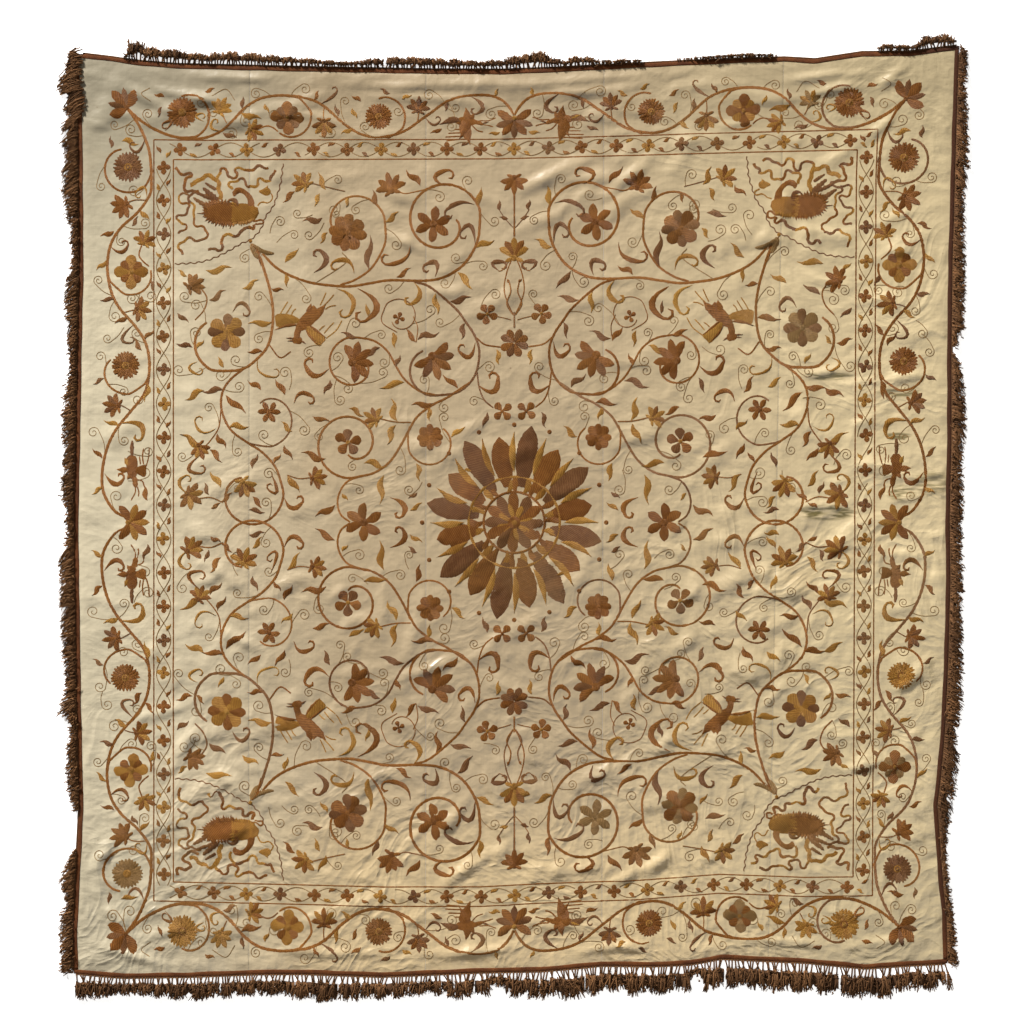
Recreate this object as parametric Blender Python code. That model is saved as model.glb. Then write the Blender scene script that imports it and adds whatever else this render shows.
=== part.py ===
"""Embroidered silk bedcover, laid out flat and face up, head towards +Y.

Five loom widths of silk satin are joined side by side. A woven braid runs along each edge, and a matted
fringe hangs from a narrow heading outside each braid. Lengths are in metres. The origin is in the middle
of the footprint, on the surface that the cover lies on.
"""

import math

import bmesh
import bpy
import numpy as np
from mathutils import Vector
from mathutils.geometry import delaunay_2d_cdt

# Driving sizes
FOOTPRINT_X = 2.548
FOOTPRINT_Y = 2.710
CLOTH_X = 2.436
CLOTH_Y = 2.533
SILK_THICKNESS = 0.002
BRAID_WIDTH = 0.011
BRAID_THICKNESS = 0.003
HEADING_WIDTH = 0.004
HEADING_THICKNESS = 0.0025
PIECE_GAP = 0.0003

# Spacing of the points that carry the outline, the flat silk and the folds
EDGE_STEP = 0.080
EDGE_OVERRUN = 0.080
LATTICE_STEP = 0.150
FILL_SPACING = 0.009
OUTLINE_CLEARANCE = 0.012
CORNER_CLEARANCE = 0.0006

# Points laid over one fold: lines at these shares of its half width, this far apart along it
FOLD_LINES = (-1.0, -0.5, 0.0, 0.5, 1.0)
FOLD_END_LINES = (-0.6, 0.0, 0.6)
FOLD_LENGTH_STEP = 0.070
FOLD_END_STEP = 0.6

# A seam gets a point wherever a fold turns it by more than this over two fine steps
SEAM_FINE_STEP = 0.012
SEAM_LEAST_STEP = 0.020
SEAM_TURN = 0.0006

# The cloth has dragged out of square. Each row: place along the edge, how far the edge lies off its
# straight line there, outward of it positive on the head and right edges, inward on the foot and left.
HEAD_EDGE = (
    (-1.200, 0.033), (-1.125, 0.024), (-1.040, 0.012), (-0.940, 0.004), (-0.765, 0.000),
    (-0.600, -0.004), (-0.230, -0.011), (-0.035, -0.012), (0.075, -0.008), (0.175, -0.003),
    (0.300, 0.004), (0.505, 0.014), (0.640, 0.020), (0.760, 0.023), (0.845, 0.018),
    (0.890, 0.025), (0.975, 0.038), (1.105, 0.039), (1.180, 0.048), (1.250, 0.057),
)
FOOT_EDGE = (
    (-1.225, -0.006), (-1.155, -0.013), (-1.090, -0.018), (-0.905, -0.015), (-0.720, -0.008),
    (-0.595, -0.007), (-0.370, -0.015), (-0.230, -0.009), (-0.090, -0.003), (0.075, 0.000),
    (0.190, 0.010), (0.245, 0.016), (0.385, 0.014), (0.495, 0.019), (0.580, 0.035),
    (0.690, 0.030), (0.820, 0.024), (0.985, 0.008), (1.100, 0.016), (1.210, 0.022),
)
LEFT_EDGE = (
    (-1.270, -0.012), (-1.150, -0.014), (-0.990, -0.006), (-0.820, 0.003), (-0.680, 0.000),
    (-0.510, -0.004), (-0.290, -0.007), (-0.120, -0.010), (0.000, -0.011), (0.190, -0.007),
    (0.330, -0.004), (0.530, -0.001), (0.670, 0.003), (1.000, 0.001), (1.140, -0.001),
    (1.290, -0.012),
)
RIGHT_EDGE = (
    (-1.250, -0.004), (-1.110, -0.007), (-1.040, -0.015), (-0.920, -0.024), (-0.800, -0.032),
    (-0.710, -0.021), (-0.580, -0.010), (-0.375, -0.001), (-0.170, 0.004), (0.000, 0.002),
    (0.220, 0.007), (0.470, 0.007), (0.720, 0.010), (0.810, 0.013), (1.000, 0.018),
    (1.130, 0.022), (1.320, 0.029),
)

# Where each seam crosses the head, the middle and the foot
SEAM_ROWS = (
    # head, middle, foot
    (-0.738, -0.740, -0.741),
    (-0.245, -0.245, -0.246),
    (0.253, 0.250, 0.247),
    (0.755, 0.735, 0.712),
)

# Main folds. Each is a soft ridge with its middle at (x, y).
FOLD_ROWS = (
    # x, y, turn in degrees, half length, half width, rise
    (-0.234, 1.246, 0, 0.42, 0.018, 0.005),
    (-0.122, 1.213, 0, 0.45, 0.024, 0.008),
    (-0.262, 1.175, -3, 0.25, 0.020, 0.006),
    (0.250, 1.231, 4, 0.26, 0.018, 0.005),
    (0.180, 1.190, 6, 0.22, 0.022, 0.006),
    (-1.029, 1.177, -28, 0.11, 0.024, 0.009),
    (-0.864, 1.170, -12, 0.17, 0.022, 0.007),
    (-0.780, 1.232, -4, 0.20, 0.018, 0.005),
    (-1.145, 1.130, 84, 0.11, 0.028, 0.008),
    (0.844, 1.235, 8, 0.12, 0.018, 0.008),
    (0.886, 1.196, 12, 0.11, 0.018, 0.007),
    (0.560, 1.215, 2, 0.16, 0.018, 0.004),
    (1.050, 1.229, 35, 0.08, 0.020, 0.006),
    (1.036, 1.102, 40, 0.09, 0.022, 0.006),
    (0.097, 0.953, 25, 0.13, 0.028, 0.008),
    (0.321, 0.953, 40, 0.12, 0.026, 0.007),
    (-0.304, 0.773, -25, 0.10, 0.020, 0.006),
    (-0.318, 0.900, -20, 0.08, 0.026, 0.006),
    (1.105, 0.399, 0, 0.08, 0.016, 0.006),
    (0.868, 0.410, 6, 0.09, 0.020, 0.007),
    (0.858, 0.035, -3, 0.11, 0.020, 0.007),
    (1.090, 0.055, 8, 0.09, 0.016, 0.006),
    (1.080, -0.100, -5, 0.10, 0.018, 0.005),
    (0.774, -0.370, -30, 0.10, 0.024, 0.007),
    (0.680, -0.580, -80, 0.14, 0.018, 0.006),
    (-1.150, -0.945, 60, 0.08, 0.030, 0.010),
    (-1.130, -1.095, -50, 0.10, 0.026, 0.010),
    (-1.060, -1.225, -16, 0.14, 0.020, 0.008),
    (-0.985, -1.160, 12, 0.10, 0.020, 0.006),
    (-0.780, -0.746, -40, 0.12, 0.032, 0.008),
    (-0.920, -0.634, 60, 0.10, 0.028, 0.007),
    (-0.766, -0.340, -25, 0.09, 0.022, 0.007),
    (-0.808, -0.158, -35, 0.10, 0.024, 0.006),
    (-0.234, -0.420, 15, 0.13, 0.024, 0.007),
    (-0.164, -0.830, 50, 0.11, 0.028, 0.006),
    (-0.140, -0.985, 35, 0.13, 0.026, 0.008),
    (0.270, -0.704, 25, 0.15, 0.026, 0.007),
    (0.354, -0.984, 25, 0.14, 0.026, 0.008),
    (-0.500, -1.214, -2, 0.20, 0.020, 0.006),
    (-0.120, -1.212, 3, 0.19, 0.020, 0.007),
    (0.290, -1.200, 5, 0.19, 0.020, 0.008),
    (0.746, -1.184, -2, 0.20, 0.020, 0.007),
    (1.062, -1.180, 6, 0.10, 0.020, 0.007),
    (1.055, -1.060, -60, 0.10, 0.024, 0.007),
)

# How far the fringe reaches past the braid. Each row: place along the edge, reach. Nothing is left of it
# where the reach is nought.
HEAD_REACH = (
    (-1.095, 0.000), (-1.080, 0.022), (-1.050, 0.065), (-1.025, 0.036), (-0.967, 0.042),
    (-0.867, 0.027), (-0.800, 0.038), (-0.665, 0.030), (-0.530, 0.020), (-0.463, 0.016),
    (-0.363, 0.030), (-0.262, 0.033), (-0.127, 0.025), (-0.060, 0.024), (0.007, 0.036),
    (0.074, 0.048), (0.108, 0.030), (0.142, 0.016), (0.175, 0.030), (0.209, 0.024),
    (0.242, 0.013), (0.343, 0.010), (0.377, 0.000), (0.500, 0.008), (0.645, 0.013),
    (0.730, 0.008), (0.750, 0.000), (1.020, 0.000), (1.035, 0.021), (1.125, 0.016),
    (1.150, 0.036), (1.183, 0.040), (1.217, 0.030), (1.250, 0.014),
)
FOOT_REACH = (
    (-1.230, 0.070), (-1.169, 0.061), (-1.068, 0.045), (-0.967, 0.056), (-0.867, 0.064),
    (-0.700, 0.054), (-0.565, 0.070), (-0.497, 0.075), (-0.430, 0.057), (-0.363, 0.061),
    (-0.228, 0.053), (-0.161, 0.070), (-0.090, 0.061), (-0.047, 0.030), (0.007, 0.066),
    (0.108, 0.075), (0.175, 0.082), (0.276, 0.066), (0.343, 0.078), (0.478, 0.071),
    (0.515, 0.026), (0.545, 0.080), (0.645, 0.071), (0.714, 0.080), (0.948, 0.078),
    (1.049, 0.081), (1.116, 0.053), (1.150, 0.074), (1.190, 0.060), (1.220, 0.078),
)
LEFT_REACH = (
    (-1.240, 0.034), (-1.180, 0.037), (-1.113, 0.037), (-1.079, 0.018), (-1.012, 0.045),
    (-0.945, 0.020), (-0.925, 0.000), (-0.830, 0.000), (-0.800, 0.022), (-0.710, 0.034),
    (-0.643, 0.029), (-0.581, 0.014), (-0.542, 0.053), (-0.475, 0.031), (-0.407, 0.035),
    (-0.239, 0.045), (-0.105, 0.042), (-0.041, 0.014), (0.063, 0.038), (0.164, 0.034),
    (0.298, 0.042), (0.433, 0.020), (0.500, 0.028), (0.634, 0.041), (0.735, 0.015),
    (0.802, 0.024), (0.937, 0.051), (1.004, 0.037), (1.071, 0.050), (1.138, 0.036),
    (1.205, 0.052), (1.239, 0.045), (1.275, 0.018),
)
RIGHT_REACH = (
    (-1.240, 0.030), (-1.180, 0.022), (-1.113, 0.018), (-1.046, 0.013), (-0.945, 0.012),
    (-0.878, 0.020), (-0.810, 0.044), (-0.676, 0.045), (-0.609, 0.032), (-0.508, 0.047),
    (-0.441, 0.039), (-0.340, 0.041), (-0.273, 0.032), (-0.206, 0.038), (-0.105, 0.032),
    (0.097, 0.038), (0.164, 0.027), (0.231, 0.042), (0.365, 0.036), (0.433, 0.025),
    (0.466, 0.000), (0.500, 0.016), (0.533, 0.035), (0.668, 0.037), (0.802, 0.030),
    (0.903, 0.026), (0.970, 0.038), (1.138, 0.029), (1.205, 0.020), (1.270, 0.024),
)

# Fringe locks
LOCKS_A_SIDE = 72
LEAST_REACH = 0.006
ROOT_CLEARANCE = 0.001
LOCK_ROOT_SHARE = 0.20
LOCK_WIDE_SHARE = 0.76
LOCK_TIP_SHARE = 0.46
LOCK_WIDE_AT = 0.60
LOCK_HEIGHT = 0.009
LOCK_LEAST_HEIGHT_SHARE = 0.35
LOCK_FULL_REACH = 0.050
LOCK_TOP_SHARE = 0.62
LOCK_LEAN = 0.10
LOCK_LEAN_TURN = 0.35
LOCK_UNEVEN = 0.10
LOCK_UNEVEN_TURNS = (2.4, 0.9)
FLAT_ANGLE = math.radians(0.01)

# The stretch of each edge that has its heading
HEAD_SPAN = (-1.205, 1.240)
FOOT_SPAN = (-1.225, 1.205)
LEFT_SPAN = (-1.265, 1.285)
RIGHT_SPAN = (-1.240, 1.300)

SILK_COLOUR = (0.50, 0.40, 0.24, 1.0)
BRAID_COLOUR = (0.20, 0.08, 0.025, 1.0)
FRINGE_COLOUR = (0.065, 0.03, 0.015, 1.0)
SILK_ROUGHNESS = 0.42
BRAID_ROUGHNESS = 0.70
FRINGE_ROUGHNESS = 0.85


def clear_scene():
    for thing in list(bpy.data.objects):
        bpy.data.objects.remove(thing, do_unlink=True)


def material(name, colour, roughness):
    finish = bpy.data.materials.new(name)
    finish.use_nodes = True
    finish.diffuse_color = colour
    shader = finish.node_tree.nodes["Principled BSDF"]
    shader.inputs["Base Color"].default_value = colour
    shader.inputs["Roughness"].default_value = roughness
    shader.inputs["Metallic"].default_value = 0.0
    return finish


def stations(low, high, extra=()):
    """Evenly stepped places from low to high, with the extra ones among them."""
    count = max(2, round((high - low) / EDGE_STEP) + 1)
    even = np.linspace(low, high, count)
    kept = {place for place in even if all(abs(place - one) > EDGE_STEP / 2 for one in extra)}
    return np.array(sorted(kept | set(extra) | {low, high}))


def table_value(rows, place):
    places, values = np.array(rows).T
    return np.interp(place, places, values)


class Edge:
    """One edge of the cloth, made of straight chords between its stations."""

    def __init__(self, rows, base, extra=()):
        reach = CLOTH_Y / 2 + EDGE_OVERRUN
        self.places = stations(-reach, reach, extra)
        self.offsets = base + table_value(rows, self.places)

    def at(self, place):
        return float(np.interp(place, self.places, self.offsets))


def seam_x(row, y):
    """A seam as three points and the parabola through them."""
    head, middle, foot = row
    t = y / (CLOTH_Y / 2)
    return middle + (head - foot) / 2 * t + ((head + foot) / 2 - middle) * t * t


HEAD = Edge(HEAD_EDGE, CLOTH_Y / 2, [row[0] for row in SEAM_ROWS])
FOOT = Edge(FOOT_EDGE, -CLOTH_Y / 2, [row[2] for row in SEAM_ROWS])
LEFT = Edge(LEFT_EDGE, -CLOTH_X / 2)
RIGHT = Edge(RIGHT_EDGE, CLOTH_X / 2)


def bump(t):
    """Smooth hump, one in the middle and nought past one."""
    return (1 - t * t) ** 2 if abs(t) < 1 else 0.0


def fold_frame(row):
    """A fold's middle and its directions along and across, in plan."""
    x, y, turn = row[:3]
    angle = math.radians(turn)
    along = Vector((math.cos(angle), math.sin(angle)))
    return Vector((x, y)), along, along.orthogonal()


def fold_height(x, y):
    """How far the silk is lifted off the surface at one place."""
    height = 0.0
    for row in FOLD_ROWS:
        middle, along, across = fold_frame(row)
        half_length, half_width, rise = row[3:]
        off = Vector((x, y)) - middle
        height += rise * bump(off.dot(along) / half_length) * bump(off.dot(across) / half_width)
    return height


def fold_points():
    """Points on the crest, flanks and feet of every fold."""
    points = []
    for row in FOLD_ROWS:
        middle, along, across = fold_frame(row)
        half_length, half_width = row[3:5]
        steps = max(2, round(half_length / FOLD_LENGTH_STEP))
        for step in range(-steps, steps + 1):
            spot = middle + along * half_length * step / (steps + FOLD_END_STEP)
            lines = FOLD_LINES if abs(step) < steps else FOLD_END_LINES
            points += [spot + across * half_width * line for line in lines]
        points += [middle + along * half_length, middle - along * half_length]
    return points


def lattice_points():
    across = np.arange(-CLOTH_X / 2, CLOTH_X / 2, LATTICE_STEP)
    along = np.arange(-CLOTH_Y / 2, CLOTH_Y / 2, LATTICE_STEP)
    return [Vector((x, y)) for x in across for y in along]


def thinned(points, spacing):
    """The points with any that lies too near an earlier one left out."""
    kept = []
    for point in points:
        if all((point - other).length > spacing for other in kept):
            kept.append(point)
    return kept


def panel_outline(index):
    """Corner-to-corner outline of one loom width, anticlockwise, inside the braid and off its neighbours."""
    inset = BRAID_WIDTH + PIECE_GAP
    half_gap = PIECE_GAP / 2

    def left_x(y):
        return LEFT.at(y) + inset if index == 0 else seam_x(SEAM_ROWS[index - 1], y) + half_gap

    def right_x(y):
        return RIGHT.at(y) - inset if index == len(SEAM_ROWS) else seam_x(SEAM_ROWS[index], y) - half_gap

    def corner(side_x, edge, shift):
        y = edge.at(side_x(edge.at(0.0))) + shift
        for _ in range(3):
            y = edge.at(side_x(y)) + shift
        return Vector((side_x(y), y))

    foot_left = corner(left_x, FOOT, inset)
    foot_right = corner(right_x, FOOT, inset)
    head_right = corner(right_x, HEAD, -inset)
    head_left = corner(left_x, HEAD, -inset)

    last = index == len(SEAM_ROWS)
    right_places = RIGHT.places if last else seam_places(right_x, foot_right.y, head_right.y)
    left_places = LEFT.places if index == 0 else seam_places(left_x, foot_left.y, head_left.y)
    foot_side = [Vector((x, FOOT.at(x) + inset)) for x in between(FOOT.places, foot_left.x, foot_right.x)]
    right_side = [Vector((right_x(y), y)) for y in between(right_places, foot_right.y, head_right.y)]
    head_side = [Vector((x, HEAD.at(x) - inset)) for x in between(HEAD.places, head_left.x, head_right.x)]
    left_side = [Vector((left_x(y), y)) for y in between(left_places, foot_left.y, head_left.y)]
    outline = [foot_left] + foot_side + [foot_right] + right_side
    return outline + [head_right] + head_side[::-1] + [head_left] + left_side[::-1]


def between(places, low, high):
    """The places between two corners and clear of them."""
    return [place for place in places if low + CORNER_CLEARANCE < place < high - CORNER_CLEARANCE]


def seam_places(edge_x, low, high):
    """Places up one seam, closer together where a fold crosses it."""
    fine = np.arange(low + SEAM_FINE_STEP, high - SEAM_FINE_STEP / 2, SEAM_FINE_STEP)
    heights = [fold_height(edge_x(y), y) for y in fine]
    kept = []
    last = low
    for n in range(1, len(fine) - 1):
        turned = abs(heights[n - 1] - 2 * heights[n] + heights[n + 1]) > SEAM_TURN
        step = SEAM_LEAST_STEP if turned else EDGE_STEP
        if fine[n] - last >= step and high - fine[n] > SEAM_LEAST_STEP:
            kept.append(fine[n])
            last = fine[n]
    return kept


def inside(point, outline, clearance):
    """Whether the point is inside the outline and clear of it."""
    crossings = 0
    for a, b in zip(outline, outline[1:] + outline[:1]):
        edge = b - a
        share = max(0.0, min(1.0, (point - a).dot(edge) / edge.length_squared))
        if (a + edge * share - point).length < clearance:
            return False
        if (a.y > point.y) != (b.y > point.y):
            crossings += a.x + (point.y - a.y) / (b.y - a.y) * (b.x - a.x) > point.x
    return crossings % 2 == 1


def silk_width(index, fill, finish, collection):
    """One loom width: a triangulated sheet on its folds, raised to its thickness."""
    outline = panel_outline(index)
    points = outline + [point for point in fill if inside(point, outline, OUTLINE_CLEARANCE)]
    ring = [(n, (n + 1) % len(outline)) for n in range(len(outline))]
    places, _, faces, _, _, _ = delaunay_2d_cdt(points, ring, [], 1, 1e-6)
    shape = bmesh.new()
    corners = [shape.verts.new((p.x, p.y, fold_height(p.x, p.y))) for p in places]
    for face in faces:
        shape.faces.new([corners[n] for n in face])
    bmesh.ops.recalc_face_normals(shape, faces=shape.faces)
    if sum(face.normal.z for face in shape.faces) > 0:
        bmesh.ops.reverse_faces(shape, faces=shape.faces)
    raised = bmesh.ops.extrude_face_region(shape, geom=shape.faces[:], use_keep_orig=True)
    lifted = [item for item in raised["geom"] if isinstance(item, bmesh.types.BMVert)]
    bmesh.ops.translate(shape, verts=lifted, vec=(0, 0, SILK_THICKNESS))
    top_faces = [item for item in raised["geom"] if isinstance(item, bmesh.types.BMFace)]
    bmesh.ops.reverse_faces(shape, faces=top_faces)
    return finished(shape, f"silk_width_{index + 1}", finish, collection)


def finished(shape, name, finish, collection):
    """Turns the shape into a named object with outward faces."""
    bmesh.ops.recalc_face_normals(shape, faces=shape.faces)
    mesh = bpy.data.meshes.new(name)
    shape.to_mesh(mesh)
    shape.free()
    mesh.materials.append(finish)
    piece = bpy.data.objects.new(name, mesh)
    collection.objects.link(piece)
    return piece


def bar(sections, name, finish, collection):
    """A flat bar lofted through sections of inner low, outer low, outer high and inner high points."""
    shape = bmesh.new()
    rings = [[shape.verts.new(point) for point in section] for section in sections]
    for one, two in zip(rings, rings[1:]):
        for n in range(4):
            m = (n + 1) % 4
            shape.faces.new((one[n], one[m], two[m], two[n]))
    shape.faces.new(rings[0][::-1])
    shape.faces.new(rings[-1])
    return finished(shape, name, finish, collection)


def upright(inner, outer, thickness):
    """A bar's section over two plan points."""
    low = [Vector((point.x, point.y, 0.0)) for point in (inner, outer)]
    lift = Vector((0, 0, thickness))
    return [low[0], low[1], low[1] + lift, low[0] + lift]


def braids(finish, collection):
    """The braids of the head and the foot run the full width, and the side ones run between them."""
    for name, edge, sign in (("braid_head", HEAD, 1), ("braid_foot", FOOT, -1)):
        low, high = LEFT.at(edge.at(-CLOTH_X / 2)), RIGHT.at(edge.at(CLOTH_X / 2))
        sections = []
        for x in [low] + between(edge.places, low, high) + [high]:
            outer = Vector((x, edge.at(x)))
            sections.append(upright(outer - Vector((0, sign * BRAID_WIDTH)), outer, BRAID_THICKNESS))
        bar(sections, name, finish, collection)
    inset = BRAID_WIDTH + PIECE_GAP
    for name, edge, sign in (("braid_left", LEFT, -1), ("braid_right", RIGHT, 1)):
        low = FOOT.at(edge.at(-CLOTH_Y / 2)) + inset
        high = HEAD.at(edge.at(CLOTH_Y / 2)) - inset
        sections = []
        for y in [low] + between(edge.places, low, high) + [high]:
            outer = Vector((edge.at(y), y))
            inner = outer - Vector((sign * BRAID_WIDTH, 0))
            if y in (low, high):
                other, shift = (FOOT, inset) if y == low else (HEAD, -inset)
                outer.y = other.at(outer.x) + shift
                inner.y = other.at(inner.x) + shift
            sections.append(upright(inner, outer, BRAID_THICKNESS))
        bar(sections, name, finish, collection)


def clear_of_stations(place, edge, half_root):
    """The place moved so that a root there stays on one straight chord of the edge."""
    nearest = min(edge.places, key=lambda station: abs(station - place))
    clear = half_root + ROOT_CLEARANCE
    if abs(nearest - place) >= clear:
        return place
    return nearest + (clear if place > nearest else -clear)


def lock_rows(edge, sign, reach_rows, limit, span, pitch):
    """Place, reach and lean of each lock. The one that ends furthest out is drawn to the limit."""
    first_turn, second_turn = LOCK_UNEVEN_TURNS
    heading_out = PIECE_GAP + HEADING_WIDTH
    locks = []
    for n in range(LOCKS_A_SIDE):
        place = span[0] + pitch * (n + 0.5)
        reach = float(table_value(reach_rows, place)) - heading_out
        reach *= 1 + LOCK_UNEVEN * math.sin(first_turn * n) * math.cos(second_turn * n)
        if reach > LEAST_REACH:
            place = clear_of_stations(place, edge, pitch * LOCK_ROOT_SHARE / 2)
            locks.append((place, reach, LOCK_LEAN * math.sin(LOCK_LEAN_TURN * n)))
    ends = [sign * edge.at(place) + heading_out + reach for place, reach, _ in locks]
    longest = max(range(len(locks)), key=lambda n: ends[n])
    place, reach, lean = locks[longest]
    locks[longest] = (place, reach + limit - ends[longest], lean)
    return locks


def fringe(name, edge, along, outward, reach_rows, limit, span, finish, collection):
    """A heading outside the braid, with a tapered lock drawn out of it at every step that still has fringe.

    along and outward are the plan directions of the edge, span the stretch of the edge that it covers, and
    limit how far out its longest lock ends.
    """
    sign = outward.x + outward.y
    pitch = (span[1] - span[0]) / LOCKS_A_SIDE
    half_root = pitch * LOCK_ROOT_SHARE / 2
    heading_out = PIECE_GAP + HEADING_WIDTH

    def plan(place, out):
        return along * place + outward * (sign * edge.at(place) + out)

    locks = lock_rows(edge, sign, reach_rows, limit, span, pitch)
    roots = {place - half_root: (place, reach, lean) for place, reach, lean in locks}
    cuts = {span[0], span[1]}
    cuts |= {place for place in edge.places if span[0] < place < span[1]}
    cuts |= {place + side for place, _, _ in locks for side in (-half_root, half_root)}
    cuts = sorted(cuts)

    shape = bmesh.new()
    rings = []
    for cut in cuts:
        section = upright(plan(cut, PIECE_GAP), plan(cut, heading_out), HEADING_THICKNESS)
        rings.append([shape.verts.new(point) for point in section])
    for cut, one, two in zip(cuts, rings, rings[1:]):
        for n in (0, 2, 3):
            m = (n + 1) % 4
            shape.faces.new((one[n], one[m], two[m], two[n]))
        if cut not in roots:
            shape.faces.new((one[1], one[2], two[2], two[1]))
            continue
        place, reach, lean = roots[cut]
        lock(shape, (one[1], one[2], two[2], two[1]), plan, place, reach, lean, pitch)
    shape.faces.new(rings[0][::-1])
    shape.faces.new(rings[-1])
    bmesh.ops.dissolve_limit(
        shape,
        angle_limit=FLAT_ANGLE,
        verts=shape.verts,
        edges=shape.edges,
        delimit=set(),
    )
    bmesh.ops.triangulate(shape, faces=[face for face in shape.faces if len(face.verts) > 4])
    return finished(shape, name, finish, collection)


def lock(shape, root, plan, place, reach, lean, pitch):
    """A lock of fringe, which widens from its root to a rounded back and narrows to a flat tip."""
    start = PIECE_GAP + HEADING_WIDTH
    drift = lean * reach
    wide = pitch * LOCK_WIDE_SHARE / 2
    tip = pitch * LOCK_TIP_SHARE / 2
    height = LOCK_HEIGHT * min(1.0, LOCK_LEAST_HEIGHT_SHARE + reach / LOCK_FULL_REACH)
    beside = (plan(place + pitch / 10, 0) - plan(place, 0)).normalized()

    def point(side, out, z, shift):
        spot = plan(place, start + out) + beside * (side + shift)
        return shape.verts.new((spot.x, spot.y, z))

    middle = reach * LOCK_WIDE_AT
    shift = drift * LOCK_WIDE_AT
    ring = (
        point(-wide, middle, 0.0, shift),
        point(-wide * LOCK_TOP_SHARE, middle, height, shift),
        point(wide * LOCK_TOP_SHARE, middle, height, shift),
        point(wide, middle, 0.0, shift),
    )
    end = (point(-tip, reach, 0.0, drift), point(tip, reach, 0.0, drift))
    for n in range(4):
        m = (n + 1) % 4
        shape.faces.new((root[n], root[m], ring[m], ring[n]))
    shape.faces.new((ring[0], ring[1], end[0]))
    shape.faces.new((ring[1], ring[2], end[1], end[0]))
    shape.faces.new((ring[2], ring[3], end[1]))
    shape.faces.new((ring[3], ring[0], end[0], end[1]))


def main():
    clear_scene()
    collection = bpy.data.collections.new("embroidered_silk_bedcover")
    bpy.context.scene.collection.children.link(collection)
    silk = material("silk_satin", SILK_COLOUR, SILK_ROUGHNESS)
    braid = material("woven_braid", BRAID_COLOUR, BRAID_ROUGHNESS)
    yarn = material("fringe_silk", FRINGE_COLOUR, FRINGE_ROUGHNESS)
    fill = thinned(fold_points() + lattice_points(), FILL_SPACING)
    for index in range(len(SEAM_ROWS) + 1):
        silk_width(index, fill, silk, collection)
    braids(braid, collection)
    x_axis, y_axis = Vector((1, 0)), Vector((0, 1))
    half_x, half_y = FOOTPRINT_X / 2, FOOTPRINT_Y / 2
    fringe("fringe_head", HEAD, x_axis, y_axis, HEAD_REACH, half_y, HEAD_SPAN, yarn, collection)
    fringe("fringe_foot", FOOT, x_axis, -y_axis, FOOT_REACH, half_y, FOOT_SPAN, yarn, collection)
    fringe("fringe_left", LEFT, y_axis, -x_axis, LEFT_REACH, half_x, LEFT_SPAN, yarn, collection)
    fringe("fringe_right", RIGHT, y_axis, x_axis, RIGHT_REACH, half_x, RIGHT_SPAN, yarn, collection)


main()
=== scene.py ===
"""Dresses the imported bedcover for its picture: satin widths, woven braid, matted fringe and embroidery.

The widths, braids and fringes stand for their solids. The embroidery is worked in squares of 28 mm, counted
from the middle of the pattern: p to the right and q to the head. One quarter is drawn and worked four times,
as the embroiderers did, and then pulled out of true with the cloth. Other lengths are in metres.
"""

import math

import bpy
import numpy as np
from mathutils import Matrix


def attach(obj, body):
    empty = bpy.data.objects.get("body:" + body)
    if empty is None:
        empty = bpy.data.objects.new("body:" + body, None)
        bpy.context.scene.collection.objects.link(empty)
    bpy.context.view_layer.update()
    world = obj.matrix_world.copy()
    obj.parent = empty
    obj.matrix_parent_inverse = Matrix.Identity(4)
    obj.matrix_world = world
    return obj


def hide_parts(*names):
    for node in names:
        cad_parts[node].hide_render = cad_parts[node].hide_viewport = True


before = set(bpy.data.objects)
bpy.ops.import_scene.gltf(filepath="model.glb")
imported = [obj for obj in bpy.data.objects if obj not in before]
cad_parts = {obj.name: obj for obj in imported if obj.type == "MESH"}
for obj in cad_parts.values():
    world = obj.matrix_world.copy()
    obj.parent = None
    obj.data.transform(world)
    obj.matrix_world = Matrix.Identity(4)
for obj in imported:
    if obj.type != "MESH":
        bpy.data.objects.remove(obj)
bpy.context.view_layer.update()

# Sizes that the solids have as well
CLOTH_X = 2.436
CLOTH_Y = 2.533
SILK_THICKNESS = 0.002
BRAID_WIDTH = 0.011
HEADING_WIDTH = 0.004
HEADING_THICKNESS = 0.0025
PIECE_GAP = 0.0003
LOOM_WIDTH = 0.49

# The cloth has dragged out of square. Each row: place along the edge, how far the edge lies off its
# straight line there, outward of it positive on the head and right edges, inward on the foot and left.
HEAD_EDGE = (
    (-1.2, 0.033), (-1.125, 0.024), (-1.04, 0.012), (-0.94, 0.004), (-0.765, 0.0), (-0.6, -0.004),
    (-0.23, -0.011), (-0.035, -0.012), (0.075, -0.008), (0.175, -0.003), (0.3, 0.004), (0.505, 0.014),
    (0.64, 0.02), (0.76, 0.023), (0.845, 0.018), (0.89, 0.025), (0.975, 0.038), (1.105, 0.039),
    (1.18, 0.048), (1.25, 0.057),
)
FOOT_EDGE = (
    (-1.225, -0.006), (-1.155, -0.013), (-1.09, -0.018), (-0.905, -0.015), (-0.72, -0.008),
    (-0.595, -0.007), (-0.37, -0.015), (-0.23, -0.009), (-0.09, -0.003), (0.075, 0.0), (0.19, 0.01),
    (0.245, 0.016), (0.385, 0.014), (0.495, 0.019), (0.58, 0.035), (0.69, 0.03), (0.82, 0.024),
    (0.985, 0.008), (1.1, 0.016), (1.21, 0.022),
)
LEFT_EDGE = (
    (-1.27, -0.012), (-1.15, -0.014), (-0.99, -0.006), (-0.82, 0.003), (-0.68, 0.0), (-0.51, -0.004),
    (-0.29, -0.007), (-0.12, -0.01), (0.0, -0.011), (0.19, -0.007), (0.33, -0.004), (0.53, -0.001),
    (0.67, 0.003), (1.0, 0.001), (1.14, -0.001), (1.29, -0.012),
)
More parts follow.
